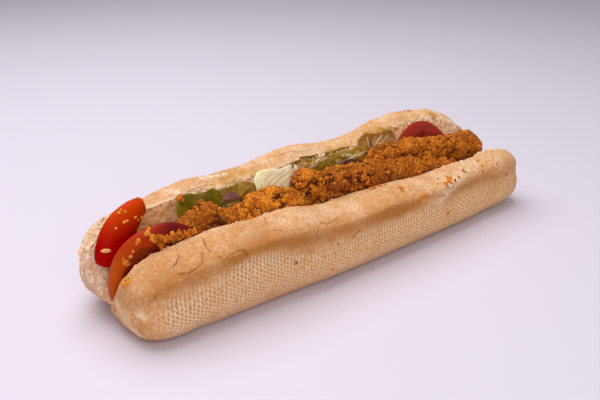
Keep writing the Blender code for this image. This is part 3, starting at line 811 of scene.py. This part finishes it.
def coated(node, name, others):
    strip = cadCopy(node, name)
    softened(strip)
    remeshed(strip, chicken["voxel"])
    places, normals = placesOf(strip), normalsOf(strip)
    warp = places + 1.2 * np.stack([cloud(places, 3.5, 60 + n) for n in range(3)], axis=1)
    big, bigNext, tone = knobs(warp, chicken["knob"], 61)
    mid, _, midTone = knobs(warp, chicken["small"], 66)
    fine, _, _ = knobs(places, chicken["fine"], 71)
    bigTop, midTop, fineTop = (np.clip(1.0 - gap ** 2 * 1.1, 0.0, 1.0) for gap in (big, mid, fine))
    push = chicken["knobHeight"] * bigTop * (0.55 + 0.6 * tone) + chicken["smallHeight"] * midTop
    push += chicken["fineHeight"] * fineTop - chicken["sink"]
    gash = (1.0 - step(0.03, 0.22, bigNext - big)) * step(-0.2, 0.3, cloud(places, 7.0, 76))
    push -= chicken["gash"] * gash
    beside, ahead, walls = others
    meeting = np.zeros(len(places))
    for tree in beside:
        meeting = np.maximum(meeting, 1.0 - step(0.4, chicken["meet"], distances(places, tree)))
    meeting *= 0.6 + 0.5 * cloud(places, 8.0, 74)
    push -= chicken["meetDepth"] * meeting
    for tree in ahead:
        push += chicken["close"] * (1.0 - step(0.5, 2.5, distances(places, tree)))
    toWalls = np.minimum(*[distances(places, tree) for tree in walls])
    push += chicken["pressed"] * (1.0 - step(0.5, 3.0, toWalls))
    movePlaces(strip, places + normals * push[:, None])
    # The crease value is painted shade: low between knobs, in gashes and where strips meet.
    crease = np.clip(1.0 - (0.62 * bigTop + 0.38 * midTop), 0.0, 1.0)
    setValues(strip, crease=np.maximum(np.maximum(crease, 0.85 * gash), 0.8 * meeting),
              depth=chicken["depth"][name],
              furrow=step(0.35, 0.75, cloud(places * np.array([0.45, 1.0, 1.0]), 6.0, 75)),
              tone=0.6 * tone + 0.4 * midTone + chicken["lift"][name],
              under=1.0 - step(-0.1, 0.75, normals[:, 2]))
    return strip


def makeChickenLook():
    made, tree, shader = newMaterial("friedCoating", 0.5, 0.1)
    patches, tints = patchesOn(tree), chicken["tints"]
    grains = put(tree, "TexVoronoi", {"Vector": objectPlace(tree), "Scale": 780.0}).outputs["Distance"]
    base = blended(tree, attribute(tree, "tone"), tints["dark"], tints["light"])
    under = ranged(tree, attribute(tree, "under"), 0.0, 1.0, 0.5, 1.0)
    # Painted shade: deep brown by each strip's depth, stronger on the undersides.
    base = tinted(tree, attribute(tree, "depth"), under, base, tints["deep"])
    base = layered(tree, base, patches, chicken["fried"])
    # Painted shade in the hollows between the grains.
    base = tinted(tree, ranged(tree, grains, 0.28, 0.75), 0.5, base, tints["gap"])
    base = tinted(tree, attribute(tree, "furrow"), 0.6, base, tints["furrow"])
    # Painted shade in the creases.
    base = blended(tree, ranged(tree, attribute(tree, "crease"), 0.4, 0.85), base, tints["crease"])
    base = tinted(tree, patches(0.0016, 0.55, 0.7), 0.5, base, tints["burnt"])
    painted(tree, shader, base, 0.0007, 0.00035, counted(tree, "MULTIPLY", grains, -0.0007))
    tree.links.new(ranged(tree, patches(0.003, 0.4, 0.6), 0.0, 1.0, 0.4, 0.7), shader.inputs["Roughness"])
    return made


def makeFlakeLook():
    made, tree, shader = newMaterial("looseCrumb", 0.6, 0.15)
    dark, middle, light = chicken["flakeTints"]
    base = blended(tree, ranged(tree, attribute(tree, "tone"), 0.0, 0.6), dark, middle)
    base = blended(tree, ranged(tree, attribute(tree, "tone"), 0.75, 1.0), base, light)
    painted(tree, shader, base, 0.0006, 0.0002)
    return made


def crumbShapes(count, seed):
    # A few small ragged lumps, each from a cube, as points and faces of about unit size.
    shapes = []
    for n in range(count):
        bpy.ops.mesh.primitive_cube_add(size=1.4)
        lump = bpy.context.object
        with editing(lump):
            bpy.ops.mesh.subdivide(number_cuts=1, smoothness=0.8)
            bpy.ops.transform.vertex_random(offset=0.34, uniform=0.6, normal=0.3, seed=seed + n)
        points = np.array([v.co for v in lump.data.vertices])
        shapes.append((points, [tuple(face.vertices) for face in lump.data.polygons]))
        bpy.data.objects.remove(lump)
    return shapes


def scattered(name, shapes, spots, look, salt):
    # One mesh of many lumps. A spot is place, normal, size, stretch and tone, and it sinks a little.
    rng = random.Random(salt)
    corners, faces, tones = [], [], []
    for place, normal, size, stretch, tone in spots:
        points, shape = shapes[rng.randrange(len(shapes))]
        turn = Vector(normal).to_track_quat("Z", "Y").to_matrix()
        spin = rng.uniform(0, 2 * math.pi)
        flat = np.array(Matrix.Rotation(spin, 3, "Z"))
        scale = np.array([size * stretch, size, size * 0.75])
        local = (points @ flat.T) * scale if stretch == 1.0 else (points * scale) @ flat.T
        world = local @ np.array(turn).T + np.array(place) + np.array(normal) * size * 0.25
        start = len(tones)
        corners.extend((world * mm).tolist())
        faces.extend([tuple(start + i for i in face) for face in shape])
        tones.extend([tone] * len(points))
    mesh = bpy.data.meshes.new(name)
    mesh.from_pydata(corners, [], faces)
    made = bpy.data.objects.new(name, mesh)
    scene.collection.objects.link(made)
    movePlaces(made, placesOf(made))
    setValues(made, tone=tones)
    with editing(made):
        bpy.ops.mesh.normals_make_consistent(inside=False)
    finishPiece(made, look, [])
    print(name, len(spots), "lumps")


def makeChicken():
    look = makeChickenLook()
    made = []
    trees = {node: treeOf(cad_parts[node]) for node in chicken["names"]}
    walls = [treeOf(breadNear), treeOf(breadFar)]
    for node, name in chicken["names"].items():
        others = [other for other in trees if other != node]
        beside = [trees[other] for other in others if {node, other} == chicken["beside"]]
        ahead = [trees[other] for other in others if {node, other} != chicken["beside"]]
        strip = coated(node, name, (beside, ahead, walls))
        finishPiece(strip, look, [node])
        made.append(strip)
        print(name, len(strip.data.vertices), "points")
    return made


strips = makeChicken()
flakeLook = makeFlakeLook()
lumpShapes = crumbShapes(5, 3)


def makeFlakes():
    rng = random.Random(5)
    counts = [len(strip.data.vertices) for strip in strips]
    spots = []
    for strip, count in zip(strips, counts):
        places, normals = placesOf(strip), normalsOf(strip)
        for _ in range(round(chicken["flakes"] * count / sum(counts))):
            k = rng.randrange(count)
            if normals[k][2] < -0.35:
                continue
            size, stretch = rng.uniform(*chicken["flakeSize"]), rng.choice((1.0, 1.0, 1.5))
            spots.append((places[k], normals[k], size, stretch, rng.random() ** 1.3))
    scattered("coatingFlakes", lumpShapes, spots, flakeLook, 7)


makeFlakes()
print("chicken is coated")


# Torn bits of crumb along the rims of the bread.
torn = {"count": {"breadNear": 170, "breadFar": 150}, "size": (0.18, 0.42), "rim": 0.7, "facing": 0.55,
        "tint": (0.90, 0.66, 0.43)}


def makeTorn():
    rng = random.Random(41)
    look = plainMaterial("tornCrumb", torn["tint"], 0.8, 0.15)
    spots = []
    for half in (breadNear, breadFar):
        places, normals = placesOf(half), normalsOf(half)
        rim = np.zeros(len(places), np.float32)
        half.data.attributes["rim"].data.foreach_get("value", rim)
        edge = np.where((rim > torn["rim"]) & (normals[:, 2] > torn["facing"]))[0]
        for _ in range(torn["count"][half.name]):
            k = edge[rng.randrange(len(edge))]
            size, stretch = rng.uniform(*torn["size"]), rng.choice((1.0, 1.5, 2.0))
            spots.append((places[k], normals[k], size, stretch, rng.random()))
    scattered("tornCrumbs", lumpShapes, spots, look, 43)


makeTorn()


# Tomato.
tomato = {
    "discs": {
        "tomato_slice_left": {"name": "tomatoLeft", "centre": (-110, -7.7, 24), "radius": 26, "lean": 14,
                              "turn": -6, "look": "sliceSkin"},
        "tomato_slice_right": {"name": "tomatoRight", "centre": (87, 6.8, 27), "radius": 27.5, "lean": -20,
                               "turn": 0, "look": "dullSkin"},
    },
    "voxel": 0.6, "locules": 5, "gelDepth": 0.5, "sliceEdge": (50, 0.8), "wedgeEdge": (55, 0.6),
    "farEnd": (-0.120, -0.104), "fibre": (0.62, 0.16, 0.07), "gel": (0.26, 0.035, 0.006),
    "looks": {
        # On the wedge the lighter orange top is partly the skin's own colour, partly a painted highlight.
        "ripeSkin": {"deep": (0.37, 0.0006, 0.0004), "bright": (0.58, 0.045, 0.001),
                     "far": (0.58, 0.045, 0.001), "flesh": (0.42, 0.02, 0.003), "roughness": 0.28,
                     "heights": (0.040, 0.056), "share": 0.08, "shine": 0.025},
        "sliceSkin": {"deep": (0.54, 0.08, 0.003), "bright": (0.42, 0.024, 0.003),
                      "far": (0.15, 0.008, 0.008), "flesh": (0.25, 0.016, 0.002), "roughness": 0.32,
                      "heights": (0.028, 0.050), "share": 0.25, "shine": 0.08},
        "dullSkin": {"deep": (0.28, 0.018, 0.008), "bright": (0.34, 0.03, 0.017),
                     "far": (0.34, 0.03, 0.017), "flesh": (0.23, 0.017, 0.004), "roughness": 0.42,
                     "heights": (0.028, 0.050), "share": 0.25, "shine": 0.08},
    },
}


def sliced(node, disc):
    piece = cadCopy(node, disc["name"])
    creased(piece, *tomato["sliceEdge"])
    softened(piece)
    remeshed(piece, tomato["voxel"])
    places, normals = placesOf(piece), normalsOf(piece)
    lean, turn = math.radians(disc["lean"]), math.radians(disc["turn"])
    axis = np.array([-math.sin(turn) * math.cos(lean), math.cos(turn) * math.cos(lean), math.sin(lean)])
    out = places - np.array(disc["centre"])
    flat = out - (out @ axis)[:, None] * axis
    radius = np.linalg.norm(flat, axis=1) / disc["radius"]
    angle = np.arctan2(flat[:, 2], flat[:, 0])
    facing = np.abs(normals @ axis)
    lobes = 0.5 + 0.5 * np.cos(tomato["locules"] * angle + 0.8 + 1.6 * cloud(places, 14.0, 81))
    wall = step(0.70, 0.80, radius + 0.06 * cloud(places, 6.0, 85))
    gel = step(0.3, 0.42, radius) * (1 - wall) * step(0.3, 0.6, lobes) * step(0.6, 0.85, facing)
    rind = step(0.93, 0.985, radius + 0.012 * cloud(places, 5.0, 82))
    skin = np.maximum(np.maximum(rind, 1.0 - step(0.45, 0.75, facing)), wall)
    push = 0.1 * cloud(places, 2.0, 84) * (1 - skin)
    push -= tomato["gelDepth"] * gel * (0.8 + 0.5 * cloud(places, 2.2, 83))
    movePlaces(piece, places + normals * push[:, None])
    setValues(piece, gel=gel, skin=skin)
    return piece


def wedged():
    piece = cadCopy("tomato_wedge", "tomatoWedge")
    creased(piece, *tomato["wedgeEdge"])
    softened(piece)
    remeshed(piece, tomato["voxel"])
    places, normals = placesOf(piece), normalsOf(piece)
    front = step(-0.25, 0.15, -normals[:, 1])
    push = 0.12 * cloud(places, 9.0, 86) + 0.1 * (1 - front) * cloud(places, 2.0, 87)
    movePlaces(piece, places + normals * push[:, None])
    setValues(piece, gel=0.0, skin=front)
    return piece


def makeTomatoLook(name):
    want = tomato["looks"][name]
    made, tree, shader = newMaterial(name, want["roughness"], want["shine"])
    patches = patchesOn(tree)
    spot = put(tree, "SeparateXYZ", {"Vector": objectPlace(tree)}).outputs
    # Darker low and lighter high; on the wedge the lighter top is partly a painted highlight.
    skin = blended(tree, ranged(tree, spot["Z"], *want["heights"]), want["deep"], want["bright"])
    skin = blended(tree, ranged(tree, spot["X"], *tomato["farEnd"]), skin, want["far"])
    skin = tinted(tree, patches(0.008, 0.45, 0.7), want["share"], skin, want["bright"])
    inner = blended(tree, patches(0.004, 0.35, 0.65), want["flesh"], [c * 0.7 for c in want["flesh"]])
    inner = tinted(tree, patches(0.0012, 0.55, 0.75), 0.4, inner, tomato["fibre"])
    inner = blended(tree, attribute(tree, "gel"), inner, tomato["gel"])
    painted(tree, shader, blended(tree, attribute(tree, "skin"), inner, skin), 0.0016, 0.00012)
    rough = ranged(tree, attribute(tree, "skin"), 0.0, 1.0, want["roughness"] + 0.12, want["roughness"])
    tree.links.new(rough, shader.inputs["Roughness"])
    return made


def makeTomatoes():
    made = [wedged()]
    finishPiece(made[0], makeTomatoLook("ripeSkin"), ["tomato_wedge"])
    for node, disc in tomato["discs"].items():
        piece = sliced(node, disc)
        finishPiece(piece, makeTomatoLook(disc["look"]), [node])
        made.append(piece)
        print(disc["name"], len(piece.data.vertices), "points")
    return made


tomatoes = makeTomatoes()
print("tomato is sliced")


# Salad leaves and onion.
salad = {
    "leaves": {
        "lettuce_green": {"name": "leafGreen", "ruffle": 0.9, "look": "green", "slot": "leaf_green"},
        "lettuce_olive": {"name": "leafOlive", "ruffle": 0.8, "look": "olive", "slot": "leaf_green"},
        "lettuce_pale": {"name": "leafPale", "ruffle": 0.8, "look": "pale", "slot": "leaf_pale"},
        "lettuce_shred": {"name": "leafShred", "ruffle": 1.0, "look": "yellow", "slot": "leaf_green"},
        "lettuce_white": {"name": "leafWhite", "ruffle": 0.6, "look": "shadedWhite", "slot": "leaf_pale"},
    },
    "thin": 0.3,
    "looks": {
        "green": ((0.12, 0.085, 0.001), (0.23, 0.165, 0.004), (0.38, 0.26, 0.05)),
        "olive": ((0.23, 0.115, 0.008), (0.37, 0.21, 0.03), (0.56, 0.40, 0.12)),
        "pale": ((1.0, 0.92, 0.63), (0.98, 0.86, 0.46), (1.0, 0.98, 0.86)),
        "yellow": ((0.30, 0.14, 0.006), (0.48, 0.26, 0.02), (0.64, 0.42, 0.13)),
        # The white leaf's colours are darkened to brown-tan: painted shade.
        "shadedWhite": ((0.62, 0.33, 0.13), (0.36, 0.14, 0.03), (0.84, 0.56, 0.33)),
    },
    "onions": {"onion_left": "onionLeft", "onion_middle": "onionMiddle", "onion_right": "onionRight"},
    "onionShade": {"onionLeft": 0.0, "onionMiddle": 0.4, "onionRight": 0.85},
    "onionTints": ((0.42, 0.24, 0.17), (0.27, 0.10, 0.08), (0.17, 0.05, 0.055), (0.085, 0.014, 0.008)),
    "footTint": (0.34, 0.18, 0.045), "topTint": (0.34, 0.135, 0.008), "topHeights": (0.0485, 0.0535),
}


def makeLeafLook(name, low, high, vein, darkTop):
    made, tree, shader = newMaterial(name, 0.42, 0.1)
    place, patches = objectPlace(tree), patchesOn(tree)
    base = blended(tree, patches(0.009, 0.35, 0.65), low, high)
    base = tinted(tree, patches(0.0018, 0.5, 0.75), 0.35, base, [c * 0.55 for c in low])
    cells = put(tree, "TexVoronoi", {"Vector": place, "Scale": 240.0}, feature="DISTANCE_TO_EDGE")
    veins = ranged(tree, cells.outputs["Distance"], 0.07, 0.0, 0.0, 0.28)
    base = blended(tree, veins, base, vein)
    base = blended(tree, attribute(tree, "rib"), base, vein)
    base = blended(tree, attribute(tree, "foot"), base, salad["footTint"])
    # Darker towards the top of the leaf.
    if darkTop:
        height = put(tree, "SeparateXYZ", {"Vector": place}).outputs["Z"]
        base = tinted(tree, ranged(tree, height, *salad["topHeights"]), 0.85, base, salad["topTint"])
    painted(tree, shader, base, 0.002, 0.0004, counted(tree, "MULTIPLY", veins, 0.0003))
    return made


def ruffled(node, leaf):
    piece = cadCopy(node, leaf["name"])
    softened(piece)
    with editing(piece):
        bpy.ops.transform.shrink_fatten(value=-salad["thin"] * mm)
    places = placesOf(piece)
    low, high = places.min(axis=0), places.max(axis=0)
    rise = (places[:, 2] - low[2]) / (high[2] - low[2])
    flat = places * np.array([1.0, 0.0, 1.0])
    wave = 0.6 * cloud(flat, 7.0, 91) + 0.4 * cloud(flat, 3.2, 92)
    places[:, 1] += leaf["ruffle"] * wave * rise
    places[:, 2] += 0.9 * rise ** 2 * cloud(flat * np.array([1.0, 0.0, 0.0]), 2.6, 93)
    movePlaces(piece, places)
    across = (places[:, 0] - low[0]) / (high[0] - low[0])
    rib = bell(across - 0.22 - 0.3 * rise, 0.05) * (1.0 - 0.6 * rise)
    foot = 0.8 * (1.0 - step(0.25, 0.5, rise + 0.15 * cloud(places, 3.0, 94))) * (leaf["look"] == "green")
    setValues(piece, rib=rib, foot=foot)
    smoothed(piece)
    return piece


def makeLeaves():
    looks, made = {}, []
    for name, tints in salad["looks"].items():
        looks[name] = makeLeafLook(name + "Leaf", *tints, name == "shadedWhite")
    for node, leaf in salad["leaves"].items():
        piece = ruffled(node, leaf)
        finishPiece(piece, looks[leaf["look"]], [node])
        made.append(piece)
    return made


def makeOnionLook():
    made, tree, shader = newMaterial("redOnion", 0.32)
    streaks = put(tree, "VectorMath", {0: objectPlace(tree), 1: (0.3, 1.0, 3.0)}, operation="MULTIPLY")
    sockets = {"Place": streaks.outputs[0], "Size": 0.0016, "Low": 0.4, "High": 0.65}
    stripes = useGroup(tree, softPatches, sockets)
    flesh, stripe, skin, shade = salad["onionTints"]
    base = blended(tree, stripes.outputs["Patches"], flesh, stripe)
    base = blended(tree, ranged(tree, attribute(tree, "edge"), 0.55, 0.95), base, skin)
    base = blended(tree, attribute(tree, "shade"), base, shade)
    painted(tree, shader, base, 0.0015, 0.0001)
    shader.inputs["Subsurface Weight"].default_value = 0.2
    shader.inputs["Subsurface Scale"].default_value = 0.0015
    return made


def makeOnions():
    look = makeOnionLook()
    made = []
    for node, name in salad["onions"].items():
        piece = cadCopy(node, name)
        softened(piece)
        places, normals = placesOf(piece), normalsOf(piece)
        movePlaces(piece, places + normals * (0.25 * cloud(places, 3.0, 95))[:, None])
        edge = np.clip(0.5 + 0.6 * normals[:, 2] + 0.2 * cloud(places, 4.0, 96), 0, 1)
        setValues(piece, shade=salad["onionShade"][name], edge=edge)
        smoothed(piece)
        finishPiece(piece, look, [node])
        made.append(piece)
    return made


leaves = makeLeaves()
onions = makeOnions()
print("salad and onion are in")


# Thin strips of lettuce, each along pixels of the photograph, with a width and a tone.
ribbons = {
    "strips": [
        ([(292, 166), (299, 162), (307, 161), (314, 163)], 2.6, 0.38),
        ([(309, 168), (314, 163), (321, 160), (327, 158)], 1.6, 0.95),
        ([(306, 171), (313, 168), (321, 166)], 1.4, 0.15),
        ([(318, 162), (326, 158), (335, 156), (343, 154)], 2.0, 0.55),
        ([(322, 168), (331, 165), (339, 163)], 1.3, 0.25),
        ([(330, 161), (338, 157), (346, 153), (355, 151)], 1.8, 0.60),
        ([(338, 165), (346, 161), (352, 157), (358, 154)], 1.4, 0.85),
        ([(344, 157), (351, 152), (358, 148), (364, 149)], 2.2, 0.65),
        ([(350, 160), (356, 156), (361, 154), (366, 152)], 1.5, 1.0),
        ([(325, 154), (333, 152), (341, 149), (349, 148)], 1.6, 0.35),
        ([(336, 168), (343, 166), (350, 163)], 1.2, 0.20),
        ([(353, 150), (357, 155), (360, 161)], 1.3, 0.70),
        ([(300, 158), (309, 157), (318, 155)], 1.4, 0.30),
        ([(178, 228), (181, 221), (186, 215)], 1.6, 0.85),
        ([(182, 229), (186, 222), (191, 216)], 1.3, 0.70),
        ([(184, 229), (188, 227), (191, 228)], 1.6, 0.0),
        ([(222, 202), (229, 198), (237, 197)], 0.9, 0.95),
        ([(227, 206), (234, 204), (241, 206)], 1.2, 0.80),
        ([(243, 200), (250, 195), (257, 192), (262, 190)], 2.2, 0.75),
        ([(240, 198), (246, 191), (252, 187)], 2.2, 0.65),
        ([(361, 142), (364, 147), (368, 152)], 0.9, 0.70),
        ([(367, 137), (368, 144), (371, 151)], 0.8, 0.85),
        ([(375, 136), (373, 143), (372, 151)], 1.2, 0.78),
        ([(382, 135), (377, 142), (373, 151)], 1.1, 0.90),
        ([(388, 136), (381, 143), (375, 151)], 1.3, 0.80),
        ([(392, 139), (385, 145), (378, 151)], 1.3, 0.90),
        ([(393, 143), (388, 147), (382, 150)], 1.4, 0.82),
        ([(370, 140), (371, 145), (372, 149)], 0.7, 0.05),
        ([(268, 184), (275, 177), (285, 170)], 0.5, 1.0),
        ([(272, 186), (280, 178), (290, 171)], 0.4, 1.0),
        ([(279, 187), (286, 180), (293, 174)], 0.45, 1.0),
        ([(265, 180), (271, 174), (279, 169)], 0.4, 1.0),
    ],
    "thick": 0.3, "lift": 0.7,
    "shreds": 46, "shredLeft": (300, 160, 172), "shredRight": (366, 149, 161),
    "shredTones": (0.2, 0.45, 0.6, 0.9),
    "tints": ((0.20, 0.115, 0.003), (0.38, 0.21, 0.018), (0.50, 0.29, 0.035), (0.80, 0.62, 0.40)),
}


def shredPixels(rng):
    # Short random strips over the shredded part, as pixels, a width and a tone.
    found = []
    for _ in range(ribbons["shreds"]):
        t = rng.random()
        u, low, high = (a + (b - a) * t for a, b in zip(ribbons["shredLeft"], ribbons["shredRight"]))
        v = rng.uniform(low, high)
        turn = math.radians(rng.gauss(-15, 32))
        reach, bow = rng.uniform(2.5, 6.5), rng.uniform(-1.2, 1.2)
        run = (reach * math.cos(turn), reach * math.sin(turn))
        pixels = [(u - run[0], v - run[1]), (u + bow * math.sin(turn), v - bow * math.cos(turn)),
                  (u + run[0], v + run[1])]
        found.append((pixels, rng.uniform(0.8, 1.5), rng.choice(ribbons["shredTones"])))
    return found


def ribbon(places, width, tone, rng):
    bpy.ops.object.select_all(action="DESELECT")
    bpy.ops.curve.primitive_bezier_curve_add()
    strand = bpy.context.object
    line = strand.data.splines[0]
    line.bezier_points.add(len(places) - 2)
    for knot, place in zip(line.bezier_points, places):
        knot.co = place
        knot.handle_left_type = knot.handle_right_type = "AUTO"
        knot.tilt = rng.uniform(-0.5, 0.5)
    strand.data.resolution_u = 6
    strand.data.extrude = width / 2 * mm
    strand.data.bevel_depth = ribbons["thick"] / 2 * mm
    strand.data.bevel_resolution = 1
    strand.data.use_fill_caps = True
    bpy.ops.object.convert(target="MESH")
    strand = bpy.context.object
    setValues(strand, tone=tone)
    return strand


def makeRibbonLook():
    made, tree, shader = newMaterial("lettuceStrip", 0.42, 0.25)
    darkest, dark, light, palest = ribbons["tints"]
    tone = attribute(tree, "tone")
    base = blended(tree, ranged(tree, tone, 0.0, 0.4), darkest, dark)
    base = blended(tree, ranged(tree, tone, 0.4, 0.7), base, light)
    base = blended(tree, ranged(tree, tone, 0.7, 1.0), base, palest)
    painted(tree, shader, base, 0.0015, 0.0003)
    return made


def makeRibbons():
    rng = random.Random(17)
    trees = [treeOf(obj) for obj in [breadFar, *leaves]]
    strands = []
    for pixels, width, tone in ribbons["strips"] + shredPixels(rng):
        hits = [behindPixel(u, v, trees) for u, v in pixels]
        places = [hit[0] + back * ribbons["lift"] * mm for hit in hits if hit]
        if len(places) > 1:
            strands.append(ribbon(places, width, tone, rng))
    bpy.ops.object.select_all(action="DESELECT")
    for strand in strands:
        strand.select_set(True)
    bpy.context.view_layer.objects.active = strands[0]
    bpy.ops.object.join()
    made = bpy.context.object
    bpy.ops.object.transform_apply(location=True, rotation=True, scale=True)
    made.name = made.data.name = "lettuceStrips"
    smoothed(made)
    movePlaces(made, placesOf(made))
    finishPiece(made, makeRibbonLook(), [])
    print("lettuceStrips", len(made.data.vertices), "points")


makeRibbons()


# The one loose seed that lies at the foot of the wedge.
seed = {"pixel": (105.8, 250.8), "size": (2.4, 1.0, 0.55), "tint": (0.76, 0.33, 0.09)}


def makeSeed():
    hit = behindPixel(*seed["pixel"], [treeOf(tomatoes[0]), treeOf(breadFar)])
    bpy.ops.mesh.primitive_uv_sphere_add(segments=20, ring_count=10, radius=mm)
    made = bpy.context.object
    made.name = made.data.name = "tomatoSeed"
    with editing(made):
        bpy.ops.transform.resize(value=seed["size"])
    along = (right - hit[1] * right.dot(hit[1])).normalized()
    turn = Matrix((along, hit[1].cross(along), hit[1])).transposed()
    made.matrix_world = Matrix.Translation(hit[0] + hit[1] * 0.3 * mm) @ turn.to_4x4()
    bpy.ops.object.transform_apply(location=True, rotation=True, scale=True)
    bpy.ops.object.shade_smooth()
    look, _, shader = newMaterial("paleSeed", 0.35)
    shader.inputs["Base Color"].default_value = colour(seed["tint"])
    finishPiece(made, look, [])


makeSeed()
print("lettuce strips and the seed are in")


# Loose crumbs, at the places that the photograph shows.
loose = {
    "tailCount": 7, "tailSize": (0.4, 1.0),
    "onCrust": [
        (127, 280, 1.5, 0.9), (125, 284, 1.6, 0.9), (129, 282, 1.2, 0.95), (180, 198, 1.8, 0.35),
        (182, 200, 1.3, 0.4), (375, 188, 1.2, 0.7), (371, 189, 1.1, 0.6), (380, 186, 1.1, 0.6),
        (385, 185, 0.9, 0.6), (400, 188, 1.2, 0.8), (402, 191, 1.0, 0.8), (419, 200, 1.2, 0.75),
        (424, 196, 1.3, 0.8), (418, 203, 0.9, 0.6), (421, 198, 0.8, 0.7), (437.6, 179, 0.8, 0.7),
        (414, 194, 0.6, 0.7), (448.5, 181, 1.6, 0.85), (446, 184, 1.3, 0.8), (450.5, 178, 1.2, 0.9),
        (451, 183, 1.0, 0.75), (447, 177, 0.8, 0.8), (455, 180.5, 0.9, 0.1), (458.4, 177.3, 0.9, 0.6),
        (462.6, 170.4, 1.0, 0.5), (464, 172, 0.7, 0.3), (477.4, 161, 1.0, 0.6), (482, 166, 0.8, 0.4),
        (482.5, 171, 0.8, 0.4), (479, 172, 0.5, 0.4), (496.8, 164, 0.8, 0.55), (508, 167.6, 0.6, 0.6),
        (506, 174.5, 0.8, 0.35), (447.8, 213.4, 0.7, 0.3), (333, 269, 0.6, 0.7), (408, 111, 1.0, 0.5),
        (404, 111.5, 0.7, 0.5), (411, 111, 0.7, 0.6), (351, 142, 0.5, 0.7),
    ],
    "onTomato": [
        (130.3, 199, 1.1, 0.9), (138, 198.5, 0.8, 0.6), (118.8, 213, 1.1, 0.95), (121, 210, 0.7, 0.9),
        (125, 212, 0.9, 0.7), (124, 222.5, 1.0, 0.95), (127, 221, 0.8, 0.95), (115.8, 228.6, 0.7, 0.95),
        (135, 217.5, 0.8, 0.9), (141.4, 217.5, 0.9, 0.9), (138, 220, 0.6, 0.8), (103, 219, 0.9, 0.9),
        (149.8, 224.4, 0.9, 0.85), (147.5, 232.8, 1.5, 0.9), (151.5, 236.7, 1.5, 0.9),
        (149, 229, 1.0, 0.85), (138.4, 240.5, 1.1, 0.85), (137, 243, 0.9, 0.8), (133, 251.2, 0.8, 0.97),
        (130.7, 256.2, 0.9, 0.95), (125, 262, 1.3, 0.85), (128, 264.2, 1.1, 0.8), (123.5, 259, 0.8, 0.8),
    ],
    "tail": [
        (153, 240), (156.3, 239.7), (160.2, 236.5), (158, 243), (161.7, 246), (164, 240), (167.8, 239.5),
        (171, 239), (174, 237.5), (177, 236.5), (179.3, 236), (182, 235.5), (185.4, 234.4), (190.8, 232.8),
        (168, 236), (174, 234), (181, 232.5), (187, 231.5), (159, 239), (155, 237),
    ],
}


def placeLoose():
    rng = random.Random(21)
    trees = [treeOf(obj) for obj in [breadNear, breadFar, *tomatoes, *strips, *leaves, *onions]]
    spots = []
    for u, v, size, tone in loose["onCrust"] + loose["onTomato"]:
        hit = behindPixel(u, v, trees)
        if hit:
            spots.append((np.array(hit[0]) / mm, np.array(hit[1]), 0.8 * size, rng.choice((1.0, 1.3)), tone))
    for u, v in loose["tail"]:
        for _ in range(loose["tailCount"]):
            hit = behindPixel(u + rng.gauss(0, 1.5), v + rng.gauss(0, 0.9), trees)
            if hit:
                place = np.array(hit[0]) / mm + np.array(hit[1]) * rng.uniform(0.0, 1.2)
                size, stretch = rng.uniform(*loose["tailSize"]), rng.choice((1.0, 1.5))
                spots.append((place, np.array(hit[1]), size, stretch, rng.random()))
    scattered("looseCrumbs", lumpShapes, spots, flakeLook, 31)


placeLoose()
